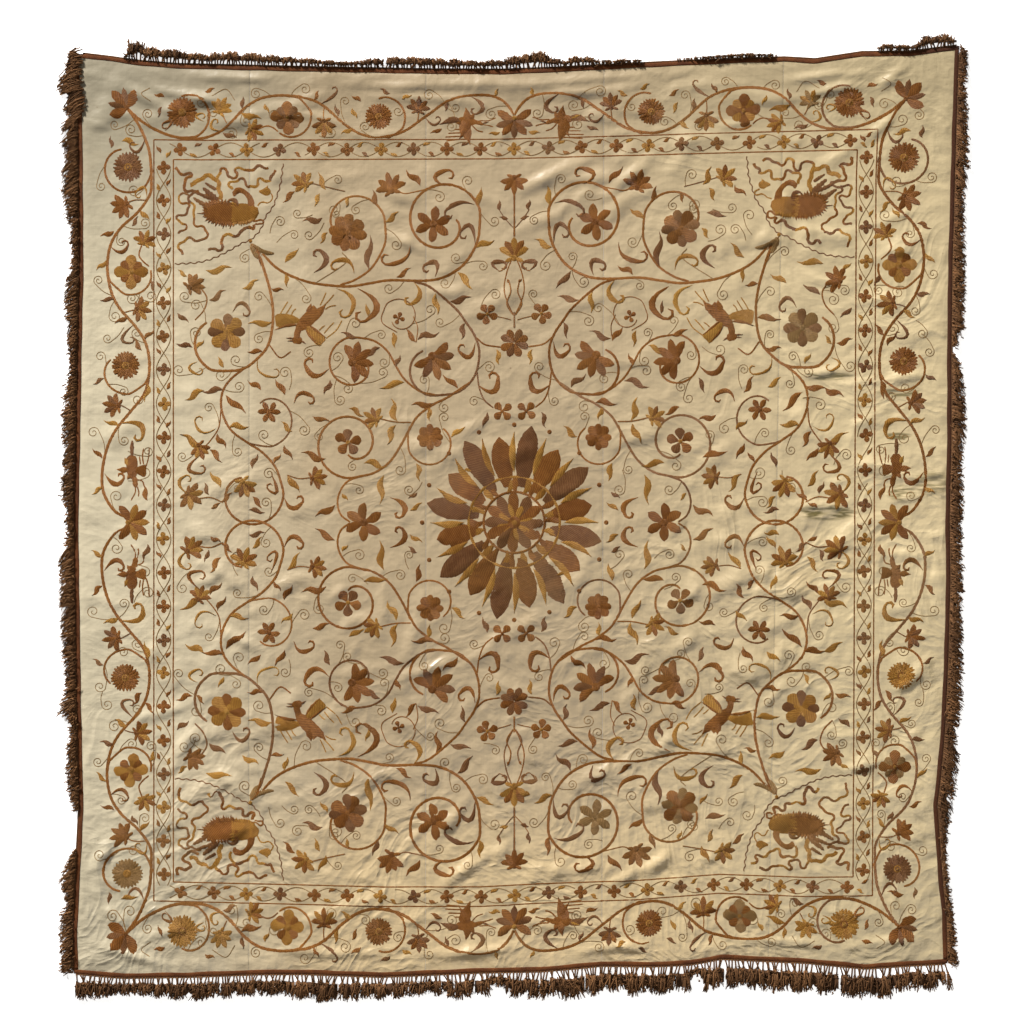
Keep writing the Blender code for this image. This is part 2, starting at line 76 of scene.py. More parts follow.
RIGHT_EDGE = (
    (-1.25, -0.004), (-1.11, -0.007), (-1.04, -0.015), (-0.92, -0.024), (-0.8, -0.032), (-0.71, -0.021),
    (-0.58, -0.01), (-0.375, -0.001), (-0.17, 0.004), (0.0, 0.002), (0.22, 0.007), (0.47, 0.007),
    (0.72, 0.01), (0.81, 0.013), (1.0, 0.018), (1.13, 0.022), (1.32, 0.029),
)

# Where each seam crosses the head, the middle and the foot
SEAM_ROWS = (
    (-0.738, -0.74, -0.741), (-0.245, -0.245, -0.246), (0.253, 0.25, 0.247), (0.755, 0.735, 0.712),
)

# Main folds, as soft ridges: x and y of the middle, turn in degrees, half length, half width, rise
FOLD_ROWS = (
    (-0.234, 1.246, 0, 0.42, 0.018, 0.005), (-0.122, 1.213, 0, 0.45, 0.024, 0.008),
    (-0.262, 1.175, -3, 0.25, 0.02, 0.006), (0.25, 1.231, 4, 0.26, 0.018, 0.005),
    (0.18, 1.19, 6, 0.22, 0.022, 0.006), (-1.029, 1.177, -28, 0.11, 0.024, 0.009),
    (-0.864, 1.17, -12, 0.17, 0.022, 0.007), (-0.78, 1.232, -4, 0.2, 0.018, 0.005),
    (-1.135, 1.15, 68, 0.13, 0.045, 0.005), (0.844, 1.235, 8, 0.12, 0.018, 0.008),
    (0.886, 1.196, 12, 0.11, 0.018, 0.007), (0.56, 1.215, 2, 0.16, 0.018, 0.004),
    (1.05, 1.229, 35, 0.08, 0.02, 0.006), (1.036, 1.102, 40, 0.09, 0.022, 0.006),
    (0.097, 0.953, 25, 0.13, 0.028, 0.008), (0.321, 0.953, 40, 0.12, 0.026, 0.007),
    (-0.304, 0.773, -25, 0.1, 0.02, 0.006), (-0.318, 0.9, -20, 0.08, 0.026, 0.006),
    (1.105, 0.399, 0, 0.08, 0.016, 0.006), (0.868, 0.41, 6, 0.09, 0.02, 0.007),
    (0.858, 0.035, -3, 0.11, 0.02, 0.007), (0.9, 0.01, 2, 0.1, 0.009, 0.004),
    (0.835, 0.004, -4, 0.07, 0.008, 0.003), (1.0, 0.385, 3, 0.13, 0.009, 0.004),
    (0.93, 0.373, -2, 0.07, 0.009, 0.004), (1.165, 0.12, 14, 0.07, 0.01, 0.005),
    (1.18, 0.078, -8, 0.06, 0.009, 0.004), (1.09, 0.055, 8, 0.09, 0.016, 0.006),
    (1.08, -0.1, -5, 0.1, 0.018, 0.005), (0.774, -0.37, -30, 0.1, 0.024, 0.007),
    (0.68, -0.58, -80, 0.14, 0.018, 0.006), (-1.15, -0.945, 60, 0.08, 0.03, 0.01),
    (-1.13, -1.095, -50, 0.1, 0.026, 0.01), (-1.06, -1.225, -16, 0.14, 0.02, 0.008),
    (-0.985, -1.16, 12, 0.1, 0.02, 0.006), (-0.78, -0.746, -40, 0.12, 0.032, 0.008),
    (-0.92, -0.634, 60, 0.1, 0.028, 0.007), (-0.766, -0.34, -25, 0.09, 0.022, 0.007),
    (-0.808, -0.158, -35, 0.1, 0.024, 0.006), (-0.234, -0.42, 15, 0.13, 0.024, 0.007),
    (-0.164, -0.83, 50, 0.11, 0.028, 0.006), (-0.14, -0.985, 35, 0.13, 0.026, 0.008),
    (0.27, -0.704, 25, 0.15, 0.026, 0.007), (0.354, -0.984, 25, 0.14, 0.026, 0.008),
    (-0.5, -1.214, -2, 0.2, 0.02, 0.006), (-0.12, -1.212, 3, 0.19, 0.02, 0.007),
    (0.29, -1.2, 5, 0.19, 0.02, 0.008), (0.746, -1.184, -2, 0.2, 0.02, 0.007),
    (1.062, -1.18, 6, 0.1, 0.02, 0.007), (1.055, -1.06, -60, 0.1, 0.024, 0.007),
)

# How far the fringe reaches past the braid. Each row: place along the edge, reach. Nothing is left of it
# where the reach is nought.
HEAD_REACH = (
    (-1.095, 0.0), (-1.08, 0.022), (-1.05, 0.065), (-1.025, 0.036), (-0.967, 0.042), (-0.867, 0.027),
    (-0.8, 0.038), (-0.665, 0.03), (-0.53, 0.02), (-0.463, 0.016), (-0.363, 0.03), (-0.262, 0.033),
    (-0.127, 0.025), (-0.06, 0.024), (0.007, 0.036), (0.074, 0.048), (0.108, 0.03), (0.142, 0.016),
    (0.175, 0.03), (0.209, 0.024), (0.242, 0.013), (0.343, 0.01), (0.377, 0.0), (0.5, 0.008),
    (0.645, 0.013), (0.73, 0.008), (0.75, 0.0), (1.02, 0.0), (1.035, 0.021), (1.125, 0.016),
    (1.15, 0.036), (1.183, 0.04), (1.217, 0.03), (1.25, 0.014),
)
FOOT_REACH = (
    (-1.23, 0.07), (-1.169, 0.061), (-1.068, 0.045), (-0.967, 0.056), (-0.867, 0.064), (-0.7, 0.054),
    (-0.565, 0.07), (-0.497, 0.075), (-0.43, 0.057), (-0.363, 0.061), (-0.228, 0.053), (-0.161, 0.07),
    (-0.09, 0.061), (-0.047, 0.03), (0.007, 0.066), (0.108, 0.075), (0.175, 0.082), (0.276, 0.066),
    (0.343, 0.078), (0.478, 0.071), (0.515, 0.026), (0.545, 0.08), (0.645, 0.071), (0.714, 0.08),
    (0.948, 0.078), (1.049, 0.081), (1.116, 0.053), (1.15, 0.074), (1.19, 0.06), (1.22, 0.078),
)
LEFT_REACH = (
    (-1.24, 0.034), (-1.18, 0.037), (-1.113, 0.037), (-1.079, 0.018), (-1.012, 0.045), (-0.945, 0.02),
    (-0.925, 0.0), (-0.83, 0.0), (-0.8, 0.022), (-0.71, 0.034), (-0.643, 0.029), (-0.581, 0.014),
    (-0.542, 0.053), (-0.475, 0.031), (-0.407, 0.035), (-0.239, 0.045), (-0.105, 0.042), (-0.041, 0.014),
    (0.063, 0.038), (0.164, 0.034), (0.298, 0.042), (0.433, 0.02), (0.5, 0.028), (0.634, 0.041),
    (0.735, 0.015), (0.802, 0.024), (0.937, 0.051), (1.004, 0.037), (1.071, 0.05), (1.138, 0.036),
    (1.205, 0.052), (1.239, 0.045), (1.275, 0.018),
)
RIGHT_REACH = (
    (-1.24, 0.03), (-1.18, 0.022), (-1.113, 0.018), (-1.046, 0.013), (-0.945, 0.012), (-0.878, 0.02),
    (-0.81, 0.044), (-0.676, 0.045), (-0.609, 0.032), (-0.508, 0.047), (-0.441, 0.039), (-0.34, 0.041),
    (-0.273, 0.032), (-0.206, 0.038), (-0.105, 0.032), (0.097, 0.038), (0.164, 0.027), (0.231, 0.042),
    (0.365, 0.036), (0.433, 0.025), (0.466, 0.0), (0.5, 0.016), (0.533, 0.035), (0.668, 0.037),
    (0.802, 0.03), (0.903, 0.026), (0.97, 0.038), (1.138, 0.029), (1.205, 0.02), (1.27, 0.024),
)

# The drawing grid
SQUARE = 0.028
PATTERN_MIDDLE = (0.002, -0.0112)
INNER_GUARD = (34.05, 36.3)
OUTER_GUARD = (36.0, 38.25)

# Surface of the silk
RELIEF_STEP = 0.004
RELIEF_HALF = 1.42
CELL = 0.009
SEAM_COLUMNS = (0.0, 0.003, 0.007)
SEAM_DIP = 0.0007
SEAM_REACH = 0.004
EDGE_FADE = 0.014
REST_HEIGHT = 0.0012
# The solids hold the main folds a little flatter than they stand
FOLD_LIFT = 1.08
THREAD_RISE = 0.0009
THREAD_SINK = 0.0002
# Patches that lie over one another are raised by turns, so that no two faces fall together
PATCH_LIFT = 0.0003
PATCH_TURNS = 7
SETTLING_ROUNDS = 6
SHARP_ANGLE = 50

# Colours, in screen values from 0 to 255
SILK_PLAIN = (190, 170, 135)
BRAID_PLAIN = (122, 78, 44)
FRINGE_PLAIN = (84, 58, 38)
# The pale left and the darker middle are partly the silk's own colour and partly painted sheen and shade
SILK_LEFT = (207, 193, 162)
SILK_MIDDLE = (177, 156, 123)
SILK_RIGHT = (205, 184, 142)
SILK_FOOT = (206, 180, 132)
SILK_STAIN = (150, 116, 62)
SILK_SPECK = (96, 66, 38)
# The olive of the painted shade in the creases on the right
SILK_CREASE_SHADE = (98, 86, 44)
BRAID_DARK = (92, 48, 18)
BRAID_LIGHT = (126, 72, 32)
BRAID_CORNER = (78, 42, 20)
FRINGE_DARK = (60, 37, 19)
FRINGE_LIGHT = (134, 94, 58)
RUST = ((112, 65, 24), (162, 106, 50))
PLUM = ((104, 65, 36), (144, 101, 62))
OCHRE = ((142, 94, 36), (192, 142, 66))
WORN_THREAD = (154, 121, 76)
FAINT = ((122, 90, 50), (164, 128, 80))

# By what share each part of the silk is darker than the rest, or lighter; several of these are painted light
# and shade, as noted
# Painted shade: the outer parts of the head and the foot are darker
PAINTED_SHADE_CORNERS = 0.13
# Painted light and shade: darker towards the head and lighter towards the foot, against the key light's
# falloff
PAINTED_LIGHT_SLOPE = 0.02
# Painted shade in the corner at the head's left
PAINTED_SHADE_HEAD_LEFT = 0.24
DARKER_BELLY = 0.07
LIGHTER_FOOT = 0.14
DARKER_LOW_RIGHT = 0.035
# Painted shade along the head edge and the left edge
PAINTED_SHADE_HEAD_EDGE = 0.15
PAINTED_SHADE_LEFT_EDGE = 0.08
DARKER_SEAM = 0.24
SILK_BUMP = 0.0056

# Pitches of the braid's ribs, of the threads in a leaf and of their rows
RIB_PITCH = 0.0022
THREAD_PITCH = 0.0011
THREAD_ROW_PITCH = 0.0064

# Short olive marks of painted shade in the creases on the right: x, y, half length, half width, strength
PAINTED_CREASE_SHADE = (
    (0.875, 0.016, 0.095, 0.024, 0.95), (0.88, 0.398, 0.08, 0.013, 0.9), (1.08, 0.352, 0.07, 0.014, 0.8),
    (1.168, 0.1, 0.065, 0.04, 0.6), (1.075, 0.23, 0.045, 0.012, 0.85), (1.085, 0.07, 0.045, 0.026, 0.8),
)

rng = np.random.default_rng(1587)


def deselect():
    """Leaves nothing selected."""
    for thing in bpy.context.selected_objects:
        thing.select_set(False)


def on_grid(rows, place):
    """Reads a table of places and values at a place between its rows."""
    places, values = np.array(rows).T
    return np.interp(place, places, values)


def head_y(x):
    return CLOTH_Y / 2 + on_grid(HEAD_EDGE, x)


def foot_y(x):
    return -CLOTH_Y / 2 + on_grid(FOOT_EDGE, x)


def left_x(y):
    return -CLOTH_X / 2 + on_grid(LEFT_EDGE, y)


def right_x(y):
    return CLOTH_X / 2 + on_grid(RIGHT_EDGE, y)


def seam_x(number, y):
    """A seam is the parabola through where it crosses the head, the middle and the foot."""
    head, middle, foot = SEAM_ROWS[number]
    t = y / (CLOTH_Y / 2)
    return middle + (head - foot) / 2 * t + ((head + foot) / 2 - middle) * t * t


class Graph:
    """A material's nodes."""

    def __init__(self, name, colour):
        self.material = bpy.data.materials.new(name)
        self.material.use_nodes = True
        self.material.diffuse_color = colour
        self.tree = self.material.node_tree
        self.shader = self.tree.nodes["Principled BSDF"]

    def node(self, kind, settings=None, inputs=None, output=0):
        """Adds a node, with its settings and what its inputs are fed."""
        made = self.tree.nodes.new(kind)
        for key, value in (settings or {}).items():
            setattr(made, key, value)
        for key, value in (inputs or {}).items():
            self.feed(made.inputs[key], value)
        return Wire(self, made.outputs[output])

    def feed(self, socket, value):
        if isinstance(value, Wire):
            self.tree.links.new(value.socket, socket)
        else:
            socket.default_value = value

    def set(self, **values):
        """Sets or feeds the shader's own inputs."""
        for key, value in values.items():
            self.feed(self.shader.inputs[key.replace("_", " ")], value)

    def place(self):
        """Where a point is on the cover, in metres."""
        return self.node("ShaderNodeTexCoord", output="Object")

    def across(self):
        """Distance across and along the piece, laid out in metres."""
        return self.node("ShaderNodeUVMap", {"uv_map": "laid_out"})

    def parts(self, vector):
        """The three numbers of a place."""
        split = self.node("ShaderNodeSeparateXYZ", inputs={0: vector})
        return [Wire(self, split.socket.node.outputs[n]) for n in range(3)]

    def join(self, x, y, z):
        return self.node("ShaderNodeCombineXYZ", inputs={0: x, 1: y, 2: z})

    def noise(self, vector, scale, detail=2.0, rough=0.5):
        inputs = {"Vector": vector, "Scale": scale, "Detail": detail, "Roughness": rough}
        return self.node("ShaderNodeTexNoise", {"noise_dimensions": "3D"}, inputs)

    def blend(self, factor, one, two):
        """One colour where the factor is nought, the other where it is one."""
        settings = {"data_type": "RGBA", "clamp_factor": True}
        return self.node("ShaderNodeMix", settings, {0: factor, 6: one, 7: two}, output=2)

    def shade(self, factor, colour):
        """The colour made darker or lighter by a factor."""
        grey = self.join(factor, factor, factor)
        return self.node("ShaderNodeVectorMath", {"operation": "MULTIPLY"}, {0: colour, 1: grey})

    def bump(self, height, depth):
        return self.node("ShaderNodeBump", inputs={"Height": height, "Distance": depth, "Strength": 1.0})


class Wire:
    """A number that flows between nodes, so that shader sums can be written as sums."""

    def __init__(self, graph, socket):
        self.graph = graph
        self.socket = socket

    def math(self, operation, *values):
        inputs = dict(enumerate(values))
        return self.graph.node("ShaderNodeMath", {"operation": operation}, inputs)

    def __add__(self, other):
        return self.math("ADD", self, other)

    __radd__ = __add__

    def __sub__(self, other):
        return self.math("SUBTRACT", self, other)

    def __rsub__(self, other):
        return self.math("SUBTRACT", other, self)

    def __mul__(self, other):
        return self.math("MULTIPLY", self, other)

    __rmul__ = __mul__

    def __truediv__(self, other):
        return self.math("DIVIDE", self, other)

    def __rtruediv__(self, other):
        return self.math("DIVIDE", other, self)

    def size(self):
        return self.math("ABSOLUTE", self)

    def sine(self):
        return self.math("SINE", self)

    def limited(self):
        """Kept between nought and one."""
        return self.math("MINIMUM", self.math("MAXIMUM", self, 0.0), 1.0)

    def ramp(self, low, high):
        """Rises from nought at low to one at high."""
        return ((self - low) / (high - low)).limited()


def linear(red, green, blue):
    """A colour given in screen values from 0 to 255, as the shader wants it."""
    share = [value / 255 for value in (red, green, blue)]
    return tuple(v / 12.92 if v <= 0.04045 else ((v + 0.055) / 1.055) ** 2.4 for v in share) + (1.0,)


def silk_ground(graph, x, y, cloud):
    """The silk's broad colours: pale on the left, darker in the middle, golden on the right and at the foot;
    the pale left and the darker middle are partly its own colour and partly painted sheen and shade.
    """
    pale, middle_colour, golden_foot = linear(*SILK_LEFT), linear(*SILK_MIDDLE), linear(*SILK_FOOT)
    # The pale left and the darker middle are partly the silk's own colour and partly painted sheen
    drift = x + (cloud - 0.5) * 0.5
    colour = graph.blend(drift.ramp(-1.12, -0.50), pale, middle_colour)
    colour = graph.blend(drift.ramp(0.15, 0.95), colour, linear(*SILK_RIGHT))
    # Painted shade in the outer parts of the head and foot and in the head-left corner, and painted light
    # that lightens the silk from head to foot against the key light's falloff
    corners = y.size().ramp(0.70, 1.15) * x.size().ramp(0.20, 0.95)
    shaded_head_left = y.ramp(0.60, 1.00) * x.ramp(-0.55, -0.95)
    low_right = x.ramp(0.25, 0.75) * y.ramp(-0.25, -0.70)
    belly = 1 - ((y + 0.50).size() * 3.4).limited()
    foot = y.ramp(-0.74, -0.96) * (1 - x.size().ramp(0.42, 0.95) * 1.35)
    light = 1 - corners * PAINTED_SHADE_CORNERS - y * PAINTED_LIGHT_SLOPE - shaded_head_left * PAINTED_SHADE_HEAD_LEFT
    light = light - belly * DARKER_BELLY + foot * LIGHTER_FOOT - low_right * DARKER_LOW_RIGHT
    colour = graph.shade(light, colour)
    colour = graph.blend(foot.limited() * 0.5, colour, golden_foot)
    # Painted shade along the head edge and the left edge
    edges = 1 - y.ramp(1.02, 1.20) * PAINTED_SHADE_HEAD_EDGE - x.ramp(-0.98, -1.16) * PAINTED_SHADE_LEFT_EDGE
    return graph.shade(edges, colour)


def silk_marks_and_crease_shade(graph, place, x, y, colour):
    """The darker line beside each seam, the stains, the specks, and painted olive shade in the creases on the
    right.
    """
    u, _, _ = graph.parts(graph.across())
    seam = 1 - (u * (LOOM_WIDTH - u)).ramp(0.0004, 0.0013)
    colour = graph.shade(1 - seam * DARKER_SEAM, colour)
    stain = graph.noise(place, 1.7, 4.0, 0.7).ramp(0.60, 0.74)
    colour = graph.blend(stain * 0.20, colour, linear(*SILK_STAIN))
    specks = graph.noise(place, 75.0, 1.0).ramp(0.80, 0.86)
    colour = graph.blend(specks * 0.45, colour, linear(*SILK_SPECK))
    broken = 1 - (graph.noise(graph.join(x * 13.0, y * 75.0, 8.0), 1.0, 2.0) - 0.5).size().ramp(0.02, 0.15)
    # Painted shade: olive darkening along the creases on the right, broken into streaks
    for middle_x, middle_y, half_length, half_width, strength in PAINTED_CREASE_SHADE:
        off_x, off_y = (x - middle_x) / half_length, (y - middle_y) / half_width
        spread = ((1 - off_x * off_x - off_y * off_y) * 1.6).limited()
        colour = graph.blend(spread * broken * strength, colour, linear(*SILK_CREASE_SHADE))
    return colour


def silk_material():
    """Cream satin. How crumpled it is rises towards the foot and the right."""
    graph = Graph("cream_satin", linear(*SILK_PLAIN))
    place = graph.place()
    x, y, _ = graph.parts(place)
    cloud = graph.noise(place, 3.1, 3.0)
    colour = silk_ground(graph, x, y, cloud)
    patches = graph.noise(place, 9.0, 4.0, 0.6)
    streaks = graph.noise(graph.join(x * 260.0, y * 9.0, 0.0), 1.0, 2.0)
    weft = graph.noise(graph.join(x * 14.0, y * 420.0, 3.0), 1.0, 1.0)
    mottle = graph.noise(place, 130.0, 2.0)
    colour = graph.shade(0.76 + patches * 0.24 + streaks * 0.10 + weft * 0.08 + mottle * 0.08, colour)
    colour = silk_marks_and_crease_shade(graph, place, x, y, colour)
    crumpled = 0.42 - y * 0.42 + x * 0.28 + (cloud - 0.5) * 1.3
    crumpled = (crumpled + (y.size() - 0.95).limited() + y.ramp(-0.5, -0.9) * 0.3).limited()
    warp = graph.noise(place, 3.0, 1.0)
    bent = graph.join(x * 1.05 + warp * 0.10, y * 1.35 - warp * 0.08, 0.0)
    soft = graph.noise(bent, 8.0, 3.0, 0.5)
    creases = graph.noise(bent, 25.0, 3.0, 0.55)
    sway = graph.noise(place, 2.2, 2.0)
    lean = 0.50 - x.ramp(0.25, 0.75) * 0.42
    along, across = x + y * lean + sway * 0.3, y - x * lean + sway * 0.8
    crests = (graph.noise(graph.join(along * 9.0, across * 16.0, 0.0), 1.0, 1.5) - 0.5).size()
    edges = (graph.noise(graph.join(across * 17.0, along * 17.0, 4.0), 1.0, 1.0) - 0.5).size()
    height = soft * (1.3 + crumpled * 0.8) + creases * (0.10 + crumpled * 0.40) + mottle * 0.05
    height = height - crests * (0.15 + crumpled * 1.60) - edges * (0.05 + crumpled * 1.00)
    height = height + streaks * 0.02 + weft * 0.02
    graph.set(Base_Color=colour, Roughness=0.30 + patches * 0.16, Normal=graph.bump(height, SILK_BUMP))
    graph.set(Specular_IOR_Level=0.5, Sheen_Weight=0.12, Sheen_Roughness=0.4)
    return graph.material


def braid_material():
    graph = Graph("rust_braid", linear(*BRAID_PLAIN))
    place = graph.place()
    u, v, _ = graph.parts(graph.across())
    turns = 2 * math.pi / RIB_PITCH
    ribs = ((u * 0.9 + v) * turns).sine() * ((u * 0.9 - v) * turns).sine()
    wear = graph.noise(place, 26.0, 3.0, 0.6)
    x, y, _ = graph.parts(place)
    colour = graph.blend(wear.ramp(0.35, 0.72), linear(*BRAID_DARK), linear(*BRAID_LIGHT))
    colour = graph.blend(x.ramp(1.05, 1.20) * y.ramp(-1.28, -1.1), colour, linear(*BRAID_CORNER))
    colour = graph.shade(0.92 + ribs * 0.10, colour)
    graph.set(Base_Color=colour, Roughness=0.62 + wear * 0.15, Normal=graph.bump(ribs, 0.0004))
    graph.set(Specular_IOR_Level=0.2)
    return graph.material


def fringe_material():
    graph = Graph("brown_fringe", linear(*FRINGE_PLAIN))
    tint = graph.node("ShaderNodeAttribute", {"attribute_name": "tint"}, output="Fac")
    place = graph.place()
    wear = graph.noise(place, 22.0, 3.0, 0.6)
    ply = graph.noise(place, 900.0, 1.0)
    tone = (tint * 0.75 + wear * 0.4).limited()
    colour = graph.blend(tone, linear(*FRINGE_DARK), linear(*FRINGE_LIGHT))
    graph.set(Base_Color=colour, Roughness=0.72 + wear * 0.1, Normal=graph.bump(ply, 0.0005))
    graph.set(Specular_IOR_Level=0.2)
    return graph.material


def thread_material(name, dark, light):
    """Satin stitch: fine threads side by side, worn to a lighter colour in places."""
    graph = Graph(name, linear(*dark))
    place = graph.place()
    u, v, _ = graph.parts(graph.across())
    tint = graph.node("ShaderNodeAttribute", {"attribute_name": "tint"}, output="Fac")
    wander = graph.noise(place, 240.0, 1.0)
    stitches = ((v + u * 0.35 + wander * 0.0006) * (2 * math.pi / THREAD_PITCH)).sine()
    rows = ((v + u * 0.9 + wander * 0.0032) * (2 * math.pi / THREAD_ROW_PITCH)).sine()
    wear = graph.noise(place, 58.0, 3.0, 0.6)
    tone = (tint + (wear - 0.5) * 0.9 + rows * 0.28).limited()
    colour = graph.blend(tone, linear(*dark), linear(*light))
    x, y, _ = graph.parts(place)
    lit = x.ramp(-0.20, -0.95) * 0.05 + y.ramp(-0.45, -1.0) * 0.06
    colour = graph.shade(0.96 + stitches * 0.08 + rows * 0.10 + lit, colour)
    faded = graph.noise(place, 2.8, 2.0).ramp(0.52, 0.70)
    colour = graph.blend(faded * 0.30, colour, linear(*WORN_THREAD))
    graph.set(Base_Color=colour, Roughness=0.44 + wear * 0.16, Normal=graph.bump(stitches, 0.0003))
    graph.set(Specular_IOR_Level=0.16)
    return graph.material


class Relief:
    """How far the silk's underside lies off the floor, on a fine grid."""

    def __init__(self):
        self.places = np.arange(-RELIEF_HALF, RELIEF_HALF + RELIEF_STEP, RELIEF_STEP)
        self.z = np.zeros((len(self.places), len(self.places)))

    def fold(self, x, y, turn, half_length, half_width, rise):
        """Adds one soft ridge, or a trough where the rise is below nought."""
        angle = math.radians(turn)
        span_x = abs(math.cos(angle)) * half_length + abs(math.sin(angle)) * half_width
        span_y = abs(math.sin(angle)) * half_length + abs(math.cos(angle)) * half_width
        columns = slice(*np.searchsorted(self.places, (x - span_x, x + span_x)))
        rows = slice(*np.searchsorted(self.places, (y - span_y, y + span_y)))
        dx = self.places[columns][None, :] - x
        dy = self.places[rows][:, None] - y
        along = (dx * math.cos(angle) + dy * math.sin(angle)) / half_length
        across = (dy * math.cos(angle) - dx * math.sin(angle)) / half_width
        bump = np.clip(1 - along**2, 0, None) ** 2 * np.clip(1 - across**2, 0, None) ** 2
        self.z[rows, columns] += rise * bump

    def at(self, x, y):
        """The height at any place."""
        fx = np.clip((x - self.places[0]) / RELIEF_STEP, 0, len(self.places) - 1.001)
        fy = np.clip((y - self.places[0]) / RELIEF_STEP, 0, len(self.places) - 1.001)
        return bilinear(self.z, fy, fx)


def bilinear(grid, row, column):
    """The grid's value at fractional rows and columns."""
    i, j = row.astype(int), column.astype(int)
    a, b = row - i, column - j
    near = grid[i, j] * (1 - b) + grid[i, j + 1] * b
    far = grid[i + 1, j] * (1 - b) + grid[i + 1, j + 1] * b
    return near * (1 - a) + far * a


def grid_faces(rows, columns, start=0):
    """Quads between the points of a grid, turned upwards where rows run along +Y and columns along +X."""
    i, j = np.meshgrid(np.arange(rows - 1), np.arange(columns - 1), indexing="ij")
    first = (start + i * columns + j).ravel()
    return np.stack([first, first + 1, first + columns + 1, first + columns], axis=1)


def tube_faces(rings, sides):
    """Quads of a tube with this many rings of points."""
    i, j = np.meshgrid(np.arange(rings - 1) * sides, np.arange(sides), indexing="ij")
    k = (j + 1) % sides
    return np.stack([i + j, i + k, i + sides + k, i + sides + j], axis=2).reshape(-1, 4)


def length_along(route):
    """How far along the route each of its places is."""
    return np.concatenate([[0], np.cumsum(np.linalg.norm(np.diff(route, axis=0), axis=1))])


def beside_route(route):
    """For each place on the route, the way to its right."""
    ahead = np.gradient(route, axis=0)
    ahead /= np.maximum(np.linalg.norm(ahead, axis=1), 1e-9)[:, None]
    return np.stack([ahead[:, 1], -ahead[:, 0]], axis=1)


def mesh_piece(name, points, quads, material, triangles=None, uv=None, tint=None):
    """A named object from arrays: points, quads, triangles, and what its material reads at each point."""
    mesh = bpy.data.meshes.new(name)
    quads = np.asarray(quads, np.int32).reshape(-1, 4)
    triangles = np.zeros((0, 3), np.int32) if triangles is None else np.asarray(triangles, np.int32)
    corners = np.concatenate([quads.ravel(), triangles.ravel()])
    sizes = np.concatenate([np.full(len(quads), 4), np.full(len(triangles), 3)])
    mesh.vertices.add(len(points))
    mesh.vertices.foreach_set("co", np.asarray(points, np.float32).ravel())
    mesh.loops.add(len(corners))
    mesh.loops.foreach_set("vertex_index", corners)
    mesh.polygons.add(len(sizes))
    mesh.polygons.foreach_set("loop_start", np.concatenate([[0], np.cumsum(sizes)[:-1]]))
    mesh.polygons.foreach_set("use_smooth", np.ones(len(sizes), bool))
    if uv is not None:
        layer = mesh.uv_layers.new(name="laid_out")
        layer.data.foreach_set("uv", np.asarray(uv, np.float32)[corners].ravel())
    if tint is not None:
        layer = mesh.attributes.new("tint", "FLOAT", "POINT")
        layer.data.foreach_set("value", np.asarray(tint, np.float32))
    mesh.update(calc_edges=True)
    mesh.validate()
    mesh.materials.append(material)
    piece = bpy.data.objects.new(name, mesh)
    bpy.context.scene.collection.objects.link(piece)
    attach(piece, "root")
    return piece


